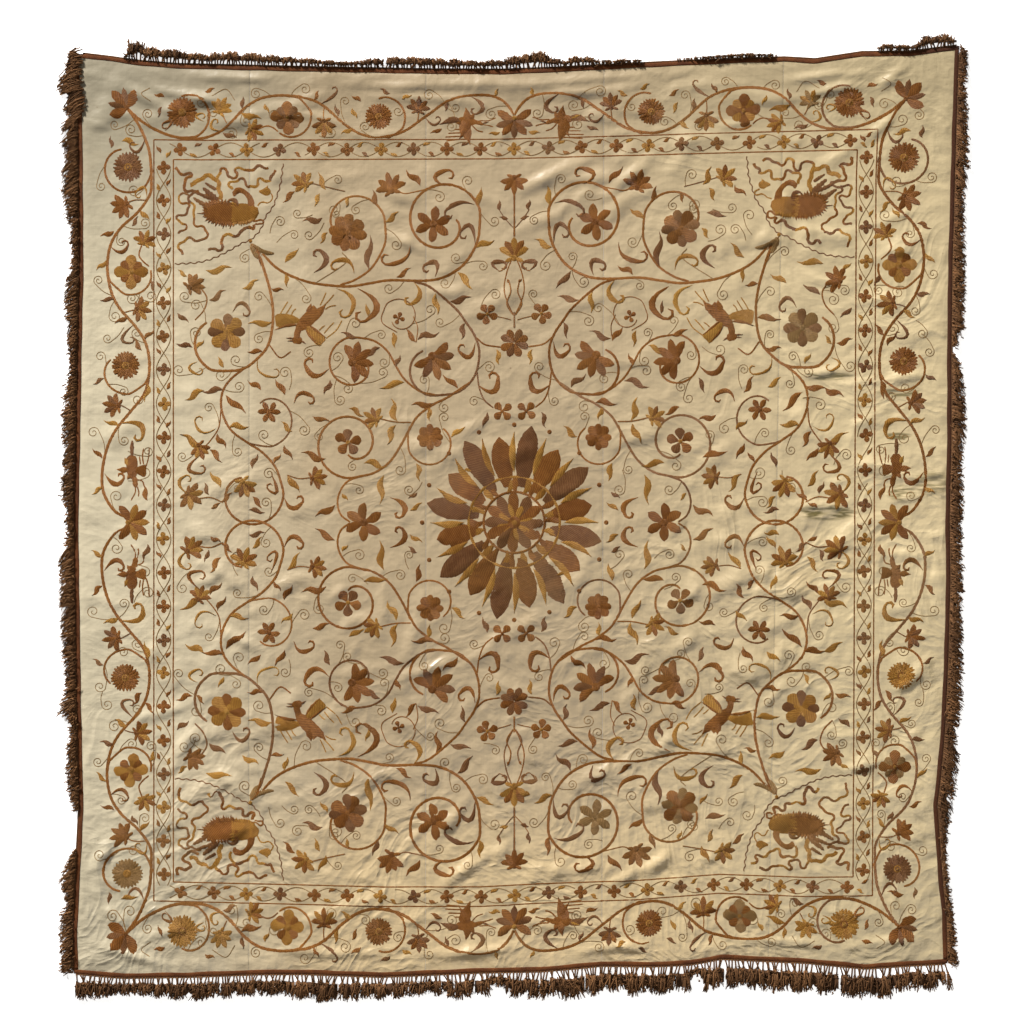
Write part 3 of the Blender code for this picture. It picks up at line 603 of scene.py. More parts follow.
class Width:
    """One loom width of the silk, as rows from the foot to the head and columns from left to right."""

    def __init__(self, number):
        self.number = number
        count = 2 * round(LOOM_WIDTH / CELL / 2) + 1
        middle = np.linspace(SEAM_COLUMNS[-1] / LOOM_WIDTH, 1 - SEAM_COLUMNS[-1] / LOOM_WIDTH, count)
        near = np.array(SEAM_COLUMNS[:-1]) / LOOM_WIDTH
        self.u = np.concatenate([near, middle, 1 - near[::-1]])
        self.v = np.linspace(0, 1, 2 * round(CLOTH_Y / CELL / 2) + 1)
        inset = BRAID_WIDTH + PIECE_GAP
        u, v = np.meshgrid(self.u, self.v)
        x = np.full_like(u, -CLOTH_X / 2 + LOOM_WIDTH * (number + 0.5))
        y = (v - 0.5) * CLOTH_Y
        for _ in range(SETTLING_ROUNDS):
            low, high = self.sides(y)
            x = low + (high - low) * u
            bottom, top = foot_y(x) + inset, head_y(x) - inset
            y = bottom + (top - bottom) * v
        self.x, self.y = x, y
        self.z = None

    def sides(self, y):
        """Where its left and right sides are at a distance from the middle."""
        inset = BRAID_WIDTH + PIECE_GAP
        first, last = self.number == 0, self.number == len(SEAM_ROWS)
        low = left_x(y) + inset if first else seam_x(self.number - 1, y) + PIECE_GAP / 2
        high = right_x(y) - inset if last else seam_x(self.number, y) - PIECE_GAP / 2
        return low, high

    def lie_on(self, relief):
        """Takes its heights from the relief, held down by the braid and drawn in at the seams."""
        held = np.minimum.reduce([
            head_y(self.x) - self.y,
            self.y - foot_y(self.x),
            self.x - left_x(self.y),
            right_x(self.y) - self.x,
        ])
        share = np.clip((held - BRAID_WIDTH) / EDGE_FADE, 0, 1)
        share = share * share * (3 - 2 * share)
        z = (relief.at(self.x, self.y) + REST_HEIGHT) * share
        low, high = self.sides(self.y)
        if self.number > 0:
            z -= SEAM_DIP * np.exp(-((self.x - low) / SEAM_REACH) ** 2)
        if self.number < len(SEAM_ROWS):
            z -= SEAM_DIP * np.exp(-((high - self.x) / SEAM_REACH) ** 2)
        self.z = np.maximum(z, 0.0)

    def holds(self, x, y):
        """Whether places lie on this width."""
        low, high = self.sides(y)
        return (x >= low - PIECE_GAP) & (x <= high + PIECE_GAP)

    def top(self, x, y):
        """Height of the upper face."""
        low, high = self.sides(y)
        inset = BRAID_WIDTH + PIECE_GAP
        bottom, top = foot_y(x) + inset, head_y(x) - inset
        u = np.clip((x - low) / (high - low), 0, 1)
        v = np.clip((y - bottom) / (top - bottom), 0, 1)
        j = np.clip(np.searchsorted(self.u, u, side="right") - 1, 0, len(self.u) - 2)
        column = j + (u - self.u[j]) / (self.u[j + 1] - self.u[j])
        row = np.clip(v * (len(self.v) - 1), 0, len(self.v) - 1.001)
        return bilinear(self.z, row, np.minimum(column, len(self.u) - 1.001)) + SILK_THICKNESS

    def piece(self, material):
        """The width as a closed sheet. Its underside, which is not seen, has every second point."""
        rows, columns = self.x.shape
        over = np.stack([self.x, self.y, self.z + SILK_THICKNESS], axis=2).reshape(-1, 3)
        edged = np.pad(self.z, 1, mode="edge")
        least = np.minimum.reduce([edged[i:i + rows, j:j + columns] for i in range(3) for j in range(3)])
        under = np.stack([self.x, self.y, least], axis=2)[::2, ::2]
        start = len(over)
        index = np.arange(start).reshape(rows, columns)
        index_under = start + np.arange(under[..., 0].size).reshape(under.shape[:2])
        fine, coarse = rim_of(index), rim_of(index_under)
        after, above, beyond = np.roll(coarse, -1), fine[1::2], np.roll(fine[::2], -1)
        walls = np.concatenate([
            np.stack([coarse, above, fine[::2]], axis=1),
            np.stack([coarse, after, above], axis=1),
            np.stack([after, beyond, above], axis=1),
        ])
        faces = grid_faces(rows, columns)
        faces_under = grid_faces(*under.shape[:2], start)[:, ::-1]
        name = f"satin_width_{self.number + 1}"
        points = np.concatenate([over, under.reshape(-1, 3)])
        laid = np.stack(np.meshgrid(self.u * LOOM_WIDTH, self.v * CLOTH_Y), axis=2)
        uv = np.concatenate([laid.reshape(-1, 2), laid[::2, ::2].reshape(-1, 2)])
        made = mesh_piece(name, points, np.concatenate([faces, faces_under]), material, walls, uv)
        deselect()
        made.select_set(True)
        bpy.context.view_layer.objects.active = made
        bpy.ops.object.shade_smooth_by_angle(angle=math.radians(SHARP_ANGLE))
        made.select_set(False)
        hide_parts(f"silk_width_{self.number + 1}")
        return made


def rim_of(index):
    """The points round the edge of a grid, anticlockwise."""
    return np.concatenate([index[0], index[1:, -1], index[-1, -2::-1], index[-2:0:-1, 0]])


def bar_piece(name, inner, outer, shape, material):
    """A long closed bar. inner and outer are the plan points of its two long sides, shape its section.

    Each row of shape is a share of the way from inner to outer and a height.
    """
    sides = len(shape)
    share = np.array([row[0] for row in shape])[None, :, None]
    height = np.array([row[1] for row in shape])
    plan = inner[:, None, :] * (1 - share) + outer[:, None, :] * share
    z = np.broadcast_to(height, plan.shape[:2])[..., None]
    points = np.concatenate([plan, z], axis=2).reshape(-1, 3)
    steps = len(inner)
    ends = [(0, n, n + 1) for n in range(1, sides - 1)]
    last = (steps - 1) * sides
    ends += [(last, last + n + 1, last + n) for n in range(1, sides - 1)]
    uv = np.stack(np.broadcast_arrays(share[..., 0] * BRAID_WIDTH, length_along(inner)[:, None]), axis=2)
    made = mesh_piece(name, points, tube_faces(steps, sides), material, ends, uv.reshape(-1, 2))
    outward(made)
    return made


def outward(piece):
    """Turns every face outwards."""
    deselect()
    bpy.context.view_layer.objects.active = piece
    piece.select_set(True)
    bpy.ops.object.mode_set(mode="EDIT")
    bpy.ops.mesh.select_all(action="SELECT")
    bpy.ops.mesh.normals_make_consistent(inside=False)
    bpy.ops.object.mode_set(mode="OBJECT")
    piece.select_set(False)


BRAID_STEP = 0.007
BRAID_LAP = 0.0012
BRAID_WAVER = 0.0006
# The braid's section. Each row: share of the way from its inner side to its outer one, height.
BRAID_SECTION = (
    (0.0, 0.0003), (1.0, 0.0003), (1.0, 0.0022), (0.86, 0.0034), (0.5, 0.0037), (0.14, 0.0034),
    (0.0, 0.0024),
)


def braids(material):
    """The head and foot braids run the full width, and the side ones run between them."""
    made = []
    between = BRAID_WIDTH + PIECE_GAP
    # The edge that each follows, which way is inward, the edges at its ends, its length, how far its ends
    # are drawn in, and how fast its two sides waver
    for name, edge, sign, before, after, length, inset, waves in (
        ("head", head_y, -1, left_x, right_x, CLOTH_X, 0.0, (60, 43)),
        ("foot", foot_y, 1, left_x, right_x, CLOTH_X, 0.0, (60, 43)),
        ("left", left_x, 1, foot_y, head_y, CLOTH_Y, between, (57, 39)),
        ("right", right_x, -1, foot_y, head_y, CLOTH_Y, between, (57, 39)),
    ):
        low = before(edge(np.array(-length / 2))) + inset
        high = after(edge(np.array(length / 2))) - inset
        along = np.linspace(low, high, round((high - low) / BRAID_STEP))
        outer = edge(along) - sign * BRAID_WAVER * (0.5 + 0.5 * np.sin(along * waves[0]))
        inner = outer + sign * (BRAID_WIDTH + BRAID_LAP) + BRAID_WAVER * np.sin(along * waves[1])
        if length == CLOTH_X:
            plans = [np.stack([along, out], axis=1) for out in (inner, outer)]
        else:
            plans = [np.stack([out, along], axis=1) for out in (inner, outer)]
        made.append(bar_piece(f"woven_braid_{name}", *plans, BRAID_SECTION, material))
        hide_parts(f"braid_{name}")
    return made


class Strands:
    """Tapered three-sided strands of yarn, gathered for one piece."""

    RINGS = 4
    SIDES = 3

    def __init__(self):
        self.rows = []

    def add(self, centres, radii, beside, tint):
        self.rows.append((centres, radii, beside, tint))

    def arrays(self):
        """All the strands as points, quads, end triangles and tints."""
        centres, radii, beside, tints = (np.array(part) for part in zip(*self.rows))
        turn = np.arange(self.SIDES) * 2 * math.pi / self.SIDES + math.pi / 2
        ring = np.cos(turn)[None, None, :, None] * beside[:, None, None, :]
        ring = ring + np.sin(turn)[None, None, :, None] * np.array([0.0, 0.0, 1.0])
        points = centres[:, :, None, :] + radii[:, :, None, None] * ring
        points[..., 2] = np.maximum(points[..., 2], LEAST_HEIGHT)
        each = self.RINGS * self.SIDES
        first = np.arange(len(centres)) * each
        last = first + each - self.SIDES
        quads = (first[:, None, None] + tube_faces(self.RINGS, self.SIDES)).reshape(-1, 4)
        caps = np.concatenate([
            np.stack([first, first + 2, first + 1], axis=1),
            np.stack([last, last + 1, last + 2], axis=1),
        ])
        return points.reshape(-1, 3), quads, caps, np.repeat(tints, each)


class Side:
    """One edge of the cover: where its fringe hangs, and how.

    Pitch, stem and strands are the way from one tassel to the next, the share of its reach that is stem, and
    its count of strands. Lump is the least and greatest length of a lump of matted yarn. Slant is how far a
    strand drops for each metre it reaches, and lap is where strands lie over the cloth, and how far. Tone is
    added to the tint of all its strands, as painted light where it is above nought and painted shade below.
    """

    def __init__(
        self, name, edge, along, out, reach, span, pitch, stem, strands, lump, tone=0.0, slant=0.0, lap=(),
    ):
        self.name, self.edge, self.reach, self.span = name, edge, reach, span
        self.pitch, self.stem, self.strands = pitch, stem, strands
        self.slant, self.lap = slant, lap
        self.along, self.out, self.sign = np.array(along, float), np.array(out, float), sum(out)
        self.lumps = [span[0]]
        while self.lumps[-1] < span[1]:
            self.lumps.append(self.lumps[-1] + rng.uniform(*lump))
        self.tones = rng.uniform(0.05, 0.55, len(self.lumps)) + tone

    def plan(self, place, out, z):
        """Points from their places along the edge, how far out of it they are, and their heights."""
        place = np.asarray(place, float)
        off = self.sign * self.edge(place) + out
        flat = self.along * place[..., None] + self.out * off[..., None]
        return np.concatenate([flat, np.broadcast_to(z, place.shape)[..., None]], axis=-1)

    def lump_at(self, place):
        """Which lump of matted yarn a place is in, and how far along that lump."""
        n = int(np.clip(np.searchsorted(self.lumps, place) - 1, 0, len(self.lumps) - 2))
        return n, float(np.clip((place - self.lumps[n]) / (self.lumps[n + 1] - self.lumps[n]), 0, 1))

    def hang(self, place):
        """How far the matted yarn reaches at a place, in rounded lumps where it hangs straight."""
        if self.slant:
            return self.reach_at(place) * 0.8
        return self.reach_at(place) * (0.95 + 0.20 * math.sin(math.pi * self.lump_at(place)[1]))

    def reach_at(self, place):
        return float(on_grid(self.reach, place))


# The left side's tone of 0.30 is painted light and the right side's of -0.08 painted shade, set against how
# the key light falls on the two fringes
SIDES = (
    Side("head", head_y, (1, 0), (0, 1), HEAD_REACH, (-1.205, 1.240), 0.0078, 0.30, 16, (0.02, 0.07)),
    Side("foot", foot_y, (1, 0), (0, -1), FOOT_REACH, (-1.225, 1.205), 0.0086, 0.27, 17, (0.03, 0.09)),
    Side("left", left_x, (0, 1), (-1, 0), LEFT_REACH, (-1.265, 1.285), 0.0060, 0.0, 12, (0.014, 0.052),
         0.30, 1.0, (1.110, 0.028)),
    Side("right", right_x, (0, 1), (1, 0), RIGHT_REACH, (-1.240, 1.300), 0.0060, 0.0, 12, (0.014, 0.052),
         -0.08, 1.0),
)
# The least reach that is worth drawing, the share of strands that are curled, the felted layer's thickness
# and steps, the lowest that yarn lies, and at their four rings the radius of a stem and the taper of a strand
LEAST_REACH = 0.006
CURLED_SHARE = 0.5
MAT_THICKNESS = 0.0022
MAT_STEP = 0.0032
LEAST_HEIGHT = 0.0002
STEM_RADII = (0.0030, 0.0026, 0.0027, 0.0038)
STRAND_TAPER = (0.9, 1.1, 1.1, 0.75)


def hanging_strands(side, strands):
    """Knotted stems that open into matted tassels, along the head or the foot."""
    beside = np.append(side.along, 0.0)
    heading_out = PIECE_GAP + HEADING_WIDTH
    steps = np.linspace(0, 1, Strands.RINGS)
    for n in range(round((side.span[1] - side.span[0]) / side.pitch)):
        place = side.span[0] + (n + 0.5 + rng.uniform(-0.30, 0.30)) * side.pitch
        reach = side.hang(place)
        if reach < LEAST_REACH:
            continue
        lump, _ = side.lump_at(place)
        tone = side.tones[lump] + rng.normal(0, 0.08)
        begin = heading_out + (reach - heading_out) * side.stem * rng.uniform(0.75, 1.15)
        lean = rng.normal(0, 0.13) * reach + ((side.lumps[lump] + side.lumps[lump + 1]) / 2 - place) * 0.22
        outs = PIECE_GAP + (begin + 0.004 - PIECE_GAP) * steps
        z = 0.0022 + 0.0016 * np.sin(steps * math.pi)
        stem = side.plan(place + lean * 0.5 * steps, outs, z)
        strands.add(stem, np.array(STEM_RADII), beside, 0.10 + tone * 0.40)
        for _ in range(side.strands):
            last = place + lean + rng.normal(0, 0.75) * side.pitch
            far = begin + (reach - begin) * rng.choice((rng.uniform(0.35, 0.9), rng.uniform(0.84, 0.99)))
            if far - begin < 0.003:
                continue
            first = place + lean * 0.5 + rng.normal(0, 0.26) * side.pitch
            near = begin + rng.uniform(-0.001, 0.003)
            lift = rng.uniform(0.002, 0.0105)
            if rng.uniform() < CURLED_SHARE:
                share, way = rng.uniform(0.1, 1.0), rng.normal(0, 1.1)
                size = rng.uniform(0.005, 0.012)
                first, near = first + (last - first) * share, near + (far - near) * share - size * 0.6
                last, far = first + size * math.sin(way), near + size * math.cos(way)
                lift = rng.uniform(0.006, 0.0105)
            add_strand(side, strands, (first, near), (last, far), tone, lift)


def slanting_strands(side, strands):
    """Tufts that hang slantwise from a side edge, matted with short curled ends of yarn."""
    for n, start in enumerate(side.lumps[:-1]):
        length = side.lumps[n + 1] - start
        slant = side.slant * rng.uniform(0.45, 1.45)
        middle = start + length / 2
        reach = side.reach_at(middle)
        tip = middle - slant * reach * rng.uniform(0.5, 0.8)
        lapped = side.lap and middle > side.lap[0]
        base = rng.choice((0.0, 0.0015, 0.003))
        for _ in range(round(length * side.strands / side.pitch)):
            root = start + length * rng.uniform(-0.15, 1.15)
            here = side.reach_at(root) * rng.uniform(0.55, 1.0)
            last = root - slant * here * rng.uniform(0.6, 1.2)
            last += (tip - last) * rng.uniform(0.1, 0.65)
            far = side.reach_at(last) * rng.choice((rng.uniform(0.45, 0.9), rng.uniform(0.85, 1.1)))
            if far < LEAST_REACH:
                continue
            near = rng.uniform(0.0, 0.006)
            if lapped:
                near -= rng.uniform(0.1, 1.0) * side.lap[1] * min(1.0, (middle - side.lap[0]) / 0.03)
            lift = base + rng.uniform(0.001, 0.0085)
            if rng.uniform() < CURLED_SHARE:
                share, way = rng.uniform(0.0, 0.9), rng.normal(0, 0.9)
                size = rng.uniform(0.006, 0.014)
                root, near = root + (last - root) * share, near + (far - near) * share
                last, far = root - size * (slant * 0.4 + math.sin(way)), near + size * math.cos(way)
                lift = base + rng.uniform(0.004, 0.0085)
            add_strand(side, strands, (root, near), (last, far), side.tones[n], lift, lapped)


def add_strand(side, strands, start, end, tone, lift, lapped=False):
    """One wavy strand. start and end are places along the edge and how far out of it."""
    steps = np.linspace(0, 1, Strands.RINGS)
    swing = rng.uniform(0, 2 * math.pi)
    wave = rng.normal(0, 0.0028) + rng.choice((0, 0, 0.0045)) * rng.normal(0, 1)
    places = start[0] + (end[0] - start[0]) * steps ** (1.35 if side.slant else 1.0)
    places = places + wave * np.sin(steps * 5.5 + swing) * steps
    outs = start[1] + (end[1] - start[1]) * steps ** (0.85 if side.slant else 1.0)
    outs = outs + rng.normal(0, 0.0028 if side.slant else 0.0016) * np.sin(steps * 6.0 + swing) * steps
    z = 0.0024 + lift * np.sin(np.minimum(0.12 + steps, 1.0) * math.pi * 0.86)
    if side.slant:
        z = z + 0.0030 * np.clip(1 - (outs + 0.001) / 0.003, 0, 1)
    if lapped:
        z = z * 0.6 + 0.0030 * (1 - steps)
    radii = rng.uniform(0.0013, 0.0026) * np.array(STRAND_TAPER)
    # Painted light: strands lifted higher get a lighter tint, and low ones a darker one
    tint = np.clip(tone + rng.normal(0, 0.27) + (lift - 0.006) * 40, 0, 1)
    strands.add(side.plan(places, outs, z), radii, np.append(side.along, 0.0), tint)


def fringe(side, material):
    """The strands of one edge, over a thin layer of felted yarn, on a narrow heading outside the braid."""
    strands = Strands()
    (slanting_strands if side.slant else hanging_strands)(side, strands)
    points, quads, caps, tints = strands.arrays()
    # The felted layer takes tint 0, the darkest, as painted shade in the gaps between the strands
    bars = [(*heading_strip(side), 0.25)] + [(*mat_strip(side, run), 0.0) for run in mat_runs(side)]
    for more_points, more_quads, tint in bars:
        quads = np.concatenate([quads, more_quads + len(points)])
        points = np.concatenate([points, more_points])
        tints = np.concatenate([tints, np.full(len(more_points), tint)])
    made = mesh_piece(f"silk_fringe_{side.name}", points, quads, material, caps, tint=tints)
    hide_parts(f"fringe_{side.name}")
    return made


def mat_runs(side):
    """The stretches of a side where the yarn is matted deep enough to close up."""
    runs = [[]]
    for place in np.arange(*side.span, MAT_STEP):
        reach = side.hang(place)
        near = PIECE_GAP + reach * side.stem + 0.003 if side.stem else 0.0004
        far = near + (reach - near) * rng.uniform(0.60, 0.88)
        if far - near > 0.0045 and rng.uniform() > (0.03 if side.stem else 0.01):
            runs[-1].append((place, near + (rng.uniform(0, 0.002) if side.stem else 0.0), far))
        elif runs[-1]:
            runs.append([])
    return [run for run in runs if len(run) > 2]


def mat_strip(side, run):
    """A thin ragged layer of felted yarn under the strands, as points and closed quads."""
    place, near, far = np.array(run).T
    swell = np.clip(np.linspace(0, 1, len(run)) * 8, 0, 1)
    thick = MAT_THICKNESS * np.sin(swell * math.pi / 2) ** 0.5 + 0.0006
    near_place = place + side.slant * 0.4 * far
    return bar(side, (
        (near_place, near, 0.0004), (place, far, 0.0004),
        (place, far - 0.002, thick * 0.5), (near_place, near + 0.001, thick),
    ))


def heading_strip(side):
    """The woven heading that the fringe is looped through, as points and closed quads."""
    places = np.linspace(*side.span, 260)
    far = PIECE_GAP + HEADING_WIDTH
    return bar(side, (
        (places, PIECE_GAP, LEAST_HEIGHT), (places, far, LEAST_HEIGHT),
        (places, far, HEADING_THICKNESS * 0.8), (places, PIECE_GAP, HEADING_THICKNESS),
    ))


def bar(side, rows):
    """A closed bar along a side, from the place, distance out and height of each of its four long edges."""
    points = np.stack([side.plan(*row) for row in rows], axis=1)
    last = (len(points) - 1) * 4
    ends = np.array([[0, 3, 2, 1], [last, last + 1, last + 2, last + 3]])
    quads = np.concatenate([tube_faces(len(points), 4), ends])
    if side.sign * side.along.sum() < 0:
        quads = quads[:, ::-1]
    return points.reshape(-1, 3), quads


SOFT_CREASES = 1900
BROAD_CREASES = 900


def puckers(relief):
    """The soft creases between the main folds: more of them in the lower half and along the head and foot."""
    for _ in range(SOFT_CREASES):
        x, y = rng.uniform(-1.2, 1.2), rng.uniform(-1.25, 1.25)
        if y > 0.1 and abs(y) < 1.08 and rng.uniform() < 0.45:
            continue
        if x < -1.06 and -0.5 < y < 1.0 and rng.uniform() < 0.85:
            continue
        band = abs(y) > 1.08
        flat_run = band or x > 0.80
        turn = rng.normal(0, 13) if flat_run else rng.normal(22, 38)
        half_length = rng.uniform(0.025, 0.13 if band else 0.07)
        half_width = rng.uniform(0.008, 0.017)
        rise = half_width * rng.uniform(0.05, 0.15) * (1.6 if y < 0 or flat_run else 0.8)
        if rng.uniform() < 0.45:
            rise = -rise * 0.8
        relief.fold(x, y, turn, half_length, half_width, rise)
    for _ in range(BROAD_CREASES):
        x, y = rng.uniform(-1.18, 1.18), rng.uniform(-1.22, 1.22)
        calm = 0.6 if x < -0.2 and y > 0.0 and abs(y) < 1.05 else 1.0
        turn = rng.normal(5, 22) if abs(y) > 1.05 or x > 0.85 else rng.normal(25, 42)
        half_width = rng.uniform(0.016, 0.040)
        deeper = 1.25 if x > 0.2 and y < 0 else 1.0
        rise = half_width * rng.uniform(0.05, 0.17) * calm * rng.choice((-0.8, 1.0)) * deeper
        relief.fold(x, y, turn, half_width * rng.uniform(2.2, 5.0), half_width, rise)


FLOOR_SIZE = 14.0
FLOOR_DROP = 0.0006
FLOOR_GLOW = 0.75
PAPER = (0.92, 0.92, 0.91, 1.0)
PAPER_GLOW = (1.0, 1.0, 0.99, 1.0)
WORLD_COLOUR = (1.0, 0.985, 0.96, 1.0)
WORLD_LIGHT = 0.14
# The lights: name, watts, size, place
STUDIO_LIGHTS = (
    ("key_light", 9600.0, 2.8, (-10.0, 16.6, 8.1)), ("soft_fill", 110.0, 5.0, (2.5, -3.5, 6.5)),
)
CAMERA_PLACE = (-0.0042, 0.0182, 7.96)
CAMERA_LENS = 100.0
CAMERA_SENSOR = 36.0


def floor_and_light():
    """A pale floor that the cover lies on, a low light from the head's left, and a weak one for the shade."""
    bpy.ops.mesh.primitive_plane_add(size=FLOOR_SIZE, location=(0, 0, -FLOOR_DROP))
    floor = bpy.context.object
    floor.name = "pale_floor"
    graph = Graph("pale_paper", PAPER)
    graph.set(Base_Color=PAPER, Roughness=0.9, Specular_IOR_Level=0.1)
    graph.set(Emission_Color=PAPER_GLOW, Emission_Strength=FLOOR_GLOW)
    floor.data.materials.append(graph.material)
    world = bpy.data.worlds.new("studio")
    world.use_nodes = True
    sky = world.node_tree.nodes["Background"].inputs
    sky["Color"].default_value = WORLD_COLOUR
    sky["Strength"].default_value = WORLD_LIGHT
    bpy.context.scene.world = world
    bpy.context.scene.view_settings.view_transform = "Standard"
    for name, power, size, place in STUDIO_LIGHTS:
        lamp = bpy.data.lights.new(name, "AREA")
        lamp.energy = power
        lamp.size = size
        holder = bpy.data.objects.new(name, lamp)
        bpy.context.scene.collection.objects.link(holder)
        holder.location = place
        tilt = math.atan2(math.hypot(place[0], place[1]), place[2])
        holder.rotation_euler = (tilt, 0, math.atan2(place[1], place[0]) + math.pi / 2)


def camera():
    """Straight above the cover."""
    lens = bpy.data.cameras.new("straight_above")
    lens.lens = CAMERA_LENS
    lens.sensor_width = CAMERA_SENSOR
    holder = bpy.data.objects.new("straight_above", lens)
    bpy.context.scene.collection.objects.link(holder)
    holder.location = CAMERA_PLACE
    bpy.context.scene.camera = holder


# The embroidery. Rows are read in the quarter where p and q are both above nought.
# Stems: half width, the places that it passes through, and the scroll that ends it, if it has one: the
# middle of the scroll, the radius at its end, and how far it turns in degrees, anticlockwise above nought.
FIELD_STEMS = (
    (0.2, ((25.15, 26.9), (23.9, 25.6), (22.4, 24.7), (20.4, 24.0), (18.4, 23.7), (16.4, 23.6),
        (14.4, 23.9), (12.4, 24.2), (8.9, 24.15), (6.9, 24.55), (5.1, 25.7), (3.9, 27.5), (3.4, 29.25)),
        ((7.05, 30.1), 1.1, -390)),
    (0.17, ((17.4, 23.75), (15.9, 24.25), (14.2, 25.5), (12.95, 27.75), (12.85, 29.5)), ((16.0, 29.6),
        2.0, -200)),
    (0.18, ((10.0, 24.05), (8.4, 23.5), (5.9, 21.4), (4.9, 20.1), (4.0, 18.75), (3.5, 17.25),
        (3.65, 15.5), (4.3, 14.1), (5.65, 13.0), (7.4, 12.7)), ((7.9, 15.3), 2.2, 158)),
    (0.16, ((7.9, 12.75), (9.4, 13.1), (10.9, 14.25), (11.8, 15.6), (12.65, 17.1), (13.9, 18.1),
        (15.4, 18.5)), ((15.9, 15.9), 1.1, -286)),
    (0.18, ((4.4, 14.0), (6.65, 12.5), (8.15, 11.75), (9.65, 10.6), (10.5, 9.25), (11.3, 7.75),
        (12.4, 6.1), (13.9, 5.0), (15.4, 4.6)), ((16.4, 7.7), 0.8, 400)),
    (0.14, ((10.45, 9.6), (10.6, 8.8), (10.65, 8.0)), ((8.4, 8.0), 1.9, -227)),
    (0.15, ((15.4, 4.6), (16.65, 4.1), (17.4, 3.1), (17.65, 1.9), (17.3, 0.75), (16.4, 0.05)), None),
    (0.13, ((3.8, 18.45), (2.9, 17.75), (1.4, 17.5)), None),
    (0.12, ((3.7, 15.0), (3.5, 13.5), (3.0, 12.25), (2.1, 11.45)), None),
    (0.07, ((10.3, 10.0), (11.9, 10.05), (13.5, 10.4)), None),
    (0.06, ((16.9, 33.1), (18.6, 33.5), (20.5, 34.0)), None),
    (0.1, ((7.9, 33.5), (10.0, 33.0), (11.0, 32.85), (11.8, 33.2)), None),
    (0.2, ((25.4, 26.6), (24.9, 25.0), (24.4, 23.25), (24.1, 21.25), (24.2, 19.25), (24.65, 17.6),
        (25.65, 16.4), (26.9, 15.45), (28.4, 15.1)), ((29.0, 18.1), 2.5, 160)),
    (0.12, ((31.9, 20.25), (31.0, 21.25), (30.7, 22.4), (31.15, 23.25), (31.65, 23.6)), None),
    (0.18, ((26.9, 15.45), (28.15, 14.5), (29.0, 13.4), (29.3, 12.0), (29.0, 10.5), (28.15, 9.1),
        (26.65, 8.0), (25.15, 7.0), (23.9, 5.6), (23.3, 4.1)), ((26.3, 2.9), 1.7, 272)),
    (0.14, ((26.65, 8.0), (25.4, 7.6)), ((24.9, 10.4), 1.6, -209)),
    (0.1, ((29.3, 11.25), (29.5, 9.5), (30.3, 8.25), (31.0, 7.5)), None),
    (0.07, ((29.1, 2.0), (30.3, 2.5), (31.5, 2.4)), None),
    (0.06, ((22.7, 4.75), (21.5, 4.4), (20.3, 4.5)), None),
    (0.05, ((11.7, 19.0), (13.2, 20.0), (13.1, 21.3)), ((11.5, 20.6), 0.9, 300)),
    (0.05, ((9.8, 18.0), (9.65, 19.5), (10.1, 20.6)), None),
)
# Flowers: place, kind, radius, the way that it faces in degrees, the threads that it is worked in
FIELD_FLOWERS = (
    (16.6, 29.0, "rosette", 1.85, 10, "rust plum"), (8.1, 29.8, "star", 1.85, 96, "rust"),
    (28.75, 19.05, "rosette", 1.85, 0, "ochre plum"), (15.75, 16.1, "half", 1.85, 165, "rust"),
    (7.9, 16.2, "half", 1.95, 235, "rust plum"), (24.5, 11.05, "star", 1.15, 60, "rust"),
    (16.6, 8.0, "cinquefoil", 1.35, 20, "rust plum"), (8.4, 8.5, "rosette", 1.3, 0, "rust"),
    (26.9, 3.5, "lotus", 1.2, 250, "ochre rust"), (31.9, 23.85, "lotus", 1.15, 150, "rust"),
    (31.35, 7.2, "lotus", 1.05, 250, "rust ochre"), (32.1, 2.5, "lotus", 1.25, 215, "rust ochre"),
    (19.6, 4.5, "lotus", 1.05, 170, "rust ochre"), (14.2, 10.5, "lotus", 1.05, 30, "ochre rust"),
    (21.2, 34.1, "lotus", 1.1, 40, "ochre rust"), (12.4, 33.8, "lotus", 1.3, 75, "rust"),
    (11.55, 20.4, "quatrefoil", 0.62, 20, "rust"),
)
# Flowers on the lines between two quarters: on the side line q is nought, on the head line p is nought
MIDLINE_FLOWERS = (
    (15.0, 0.0, "star", 1.95, 90, "rust"), (0.0, 33.75, "lotus", 1.15, 270, "rust"),
    (0.0, 27.2, "lotus", 1.45, 90, "ochre rust"), (0.0, 17.9, "pairs", 1.45, 90, "rust plum"),
    (0, 40.25, "spray", 1.72, 270, "rust plum"), (38.3, 0, "spray", 1.72, 180, "rust ochre"),
)
# Flowers and stems beside the head line
PAIRED_FLOWERS = (
    (2.7, 20.8, "cinquefoil", 1.05, 60, "rust"), (1.2, 11.1, "quatrefoil", 1.05, 45, "rust"),
)
HEAD_STEMS = (
    (0.1, ((0.1, 26.6), (0.75, 24.9), (1.0, 23.25), (0.65, 21.9), (0.12, 20.75)), None),
    (0.08, ((0.12, 20.7), (0.75, 21.8), (0.35, 23.0), (0.5, 24.0)), None),
    (0.05, ((0.1, 29.4), (0.9, 30.3), (1.5, 31.2)), None),
    (0.05, ((0.3, 20.2), (1.0, 20.4), (1.9, 20.6)), None),
    (0.05, ((0.05, 19.4), (0.03, 20.2), (0.05, 21.0)), None),
    (0.05, ((0.05, 28.5), (0.03, 30.5), (0.05, 32.8)), None),
    (0.05, ((0.45, 26.2), (1.2, 25.2), (1.6, 25.1)), None),
)
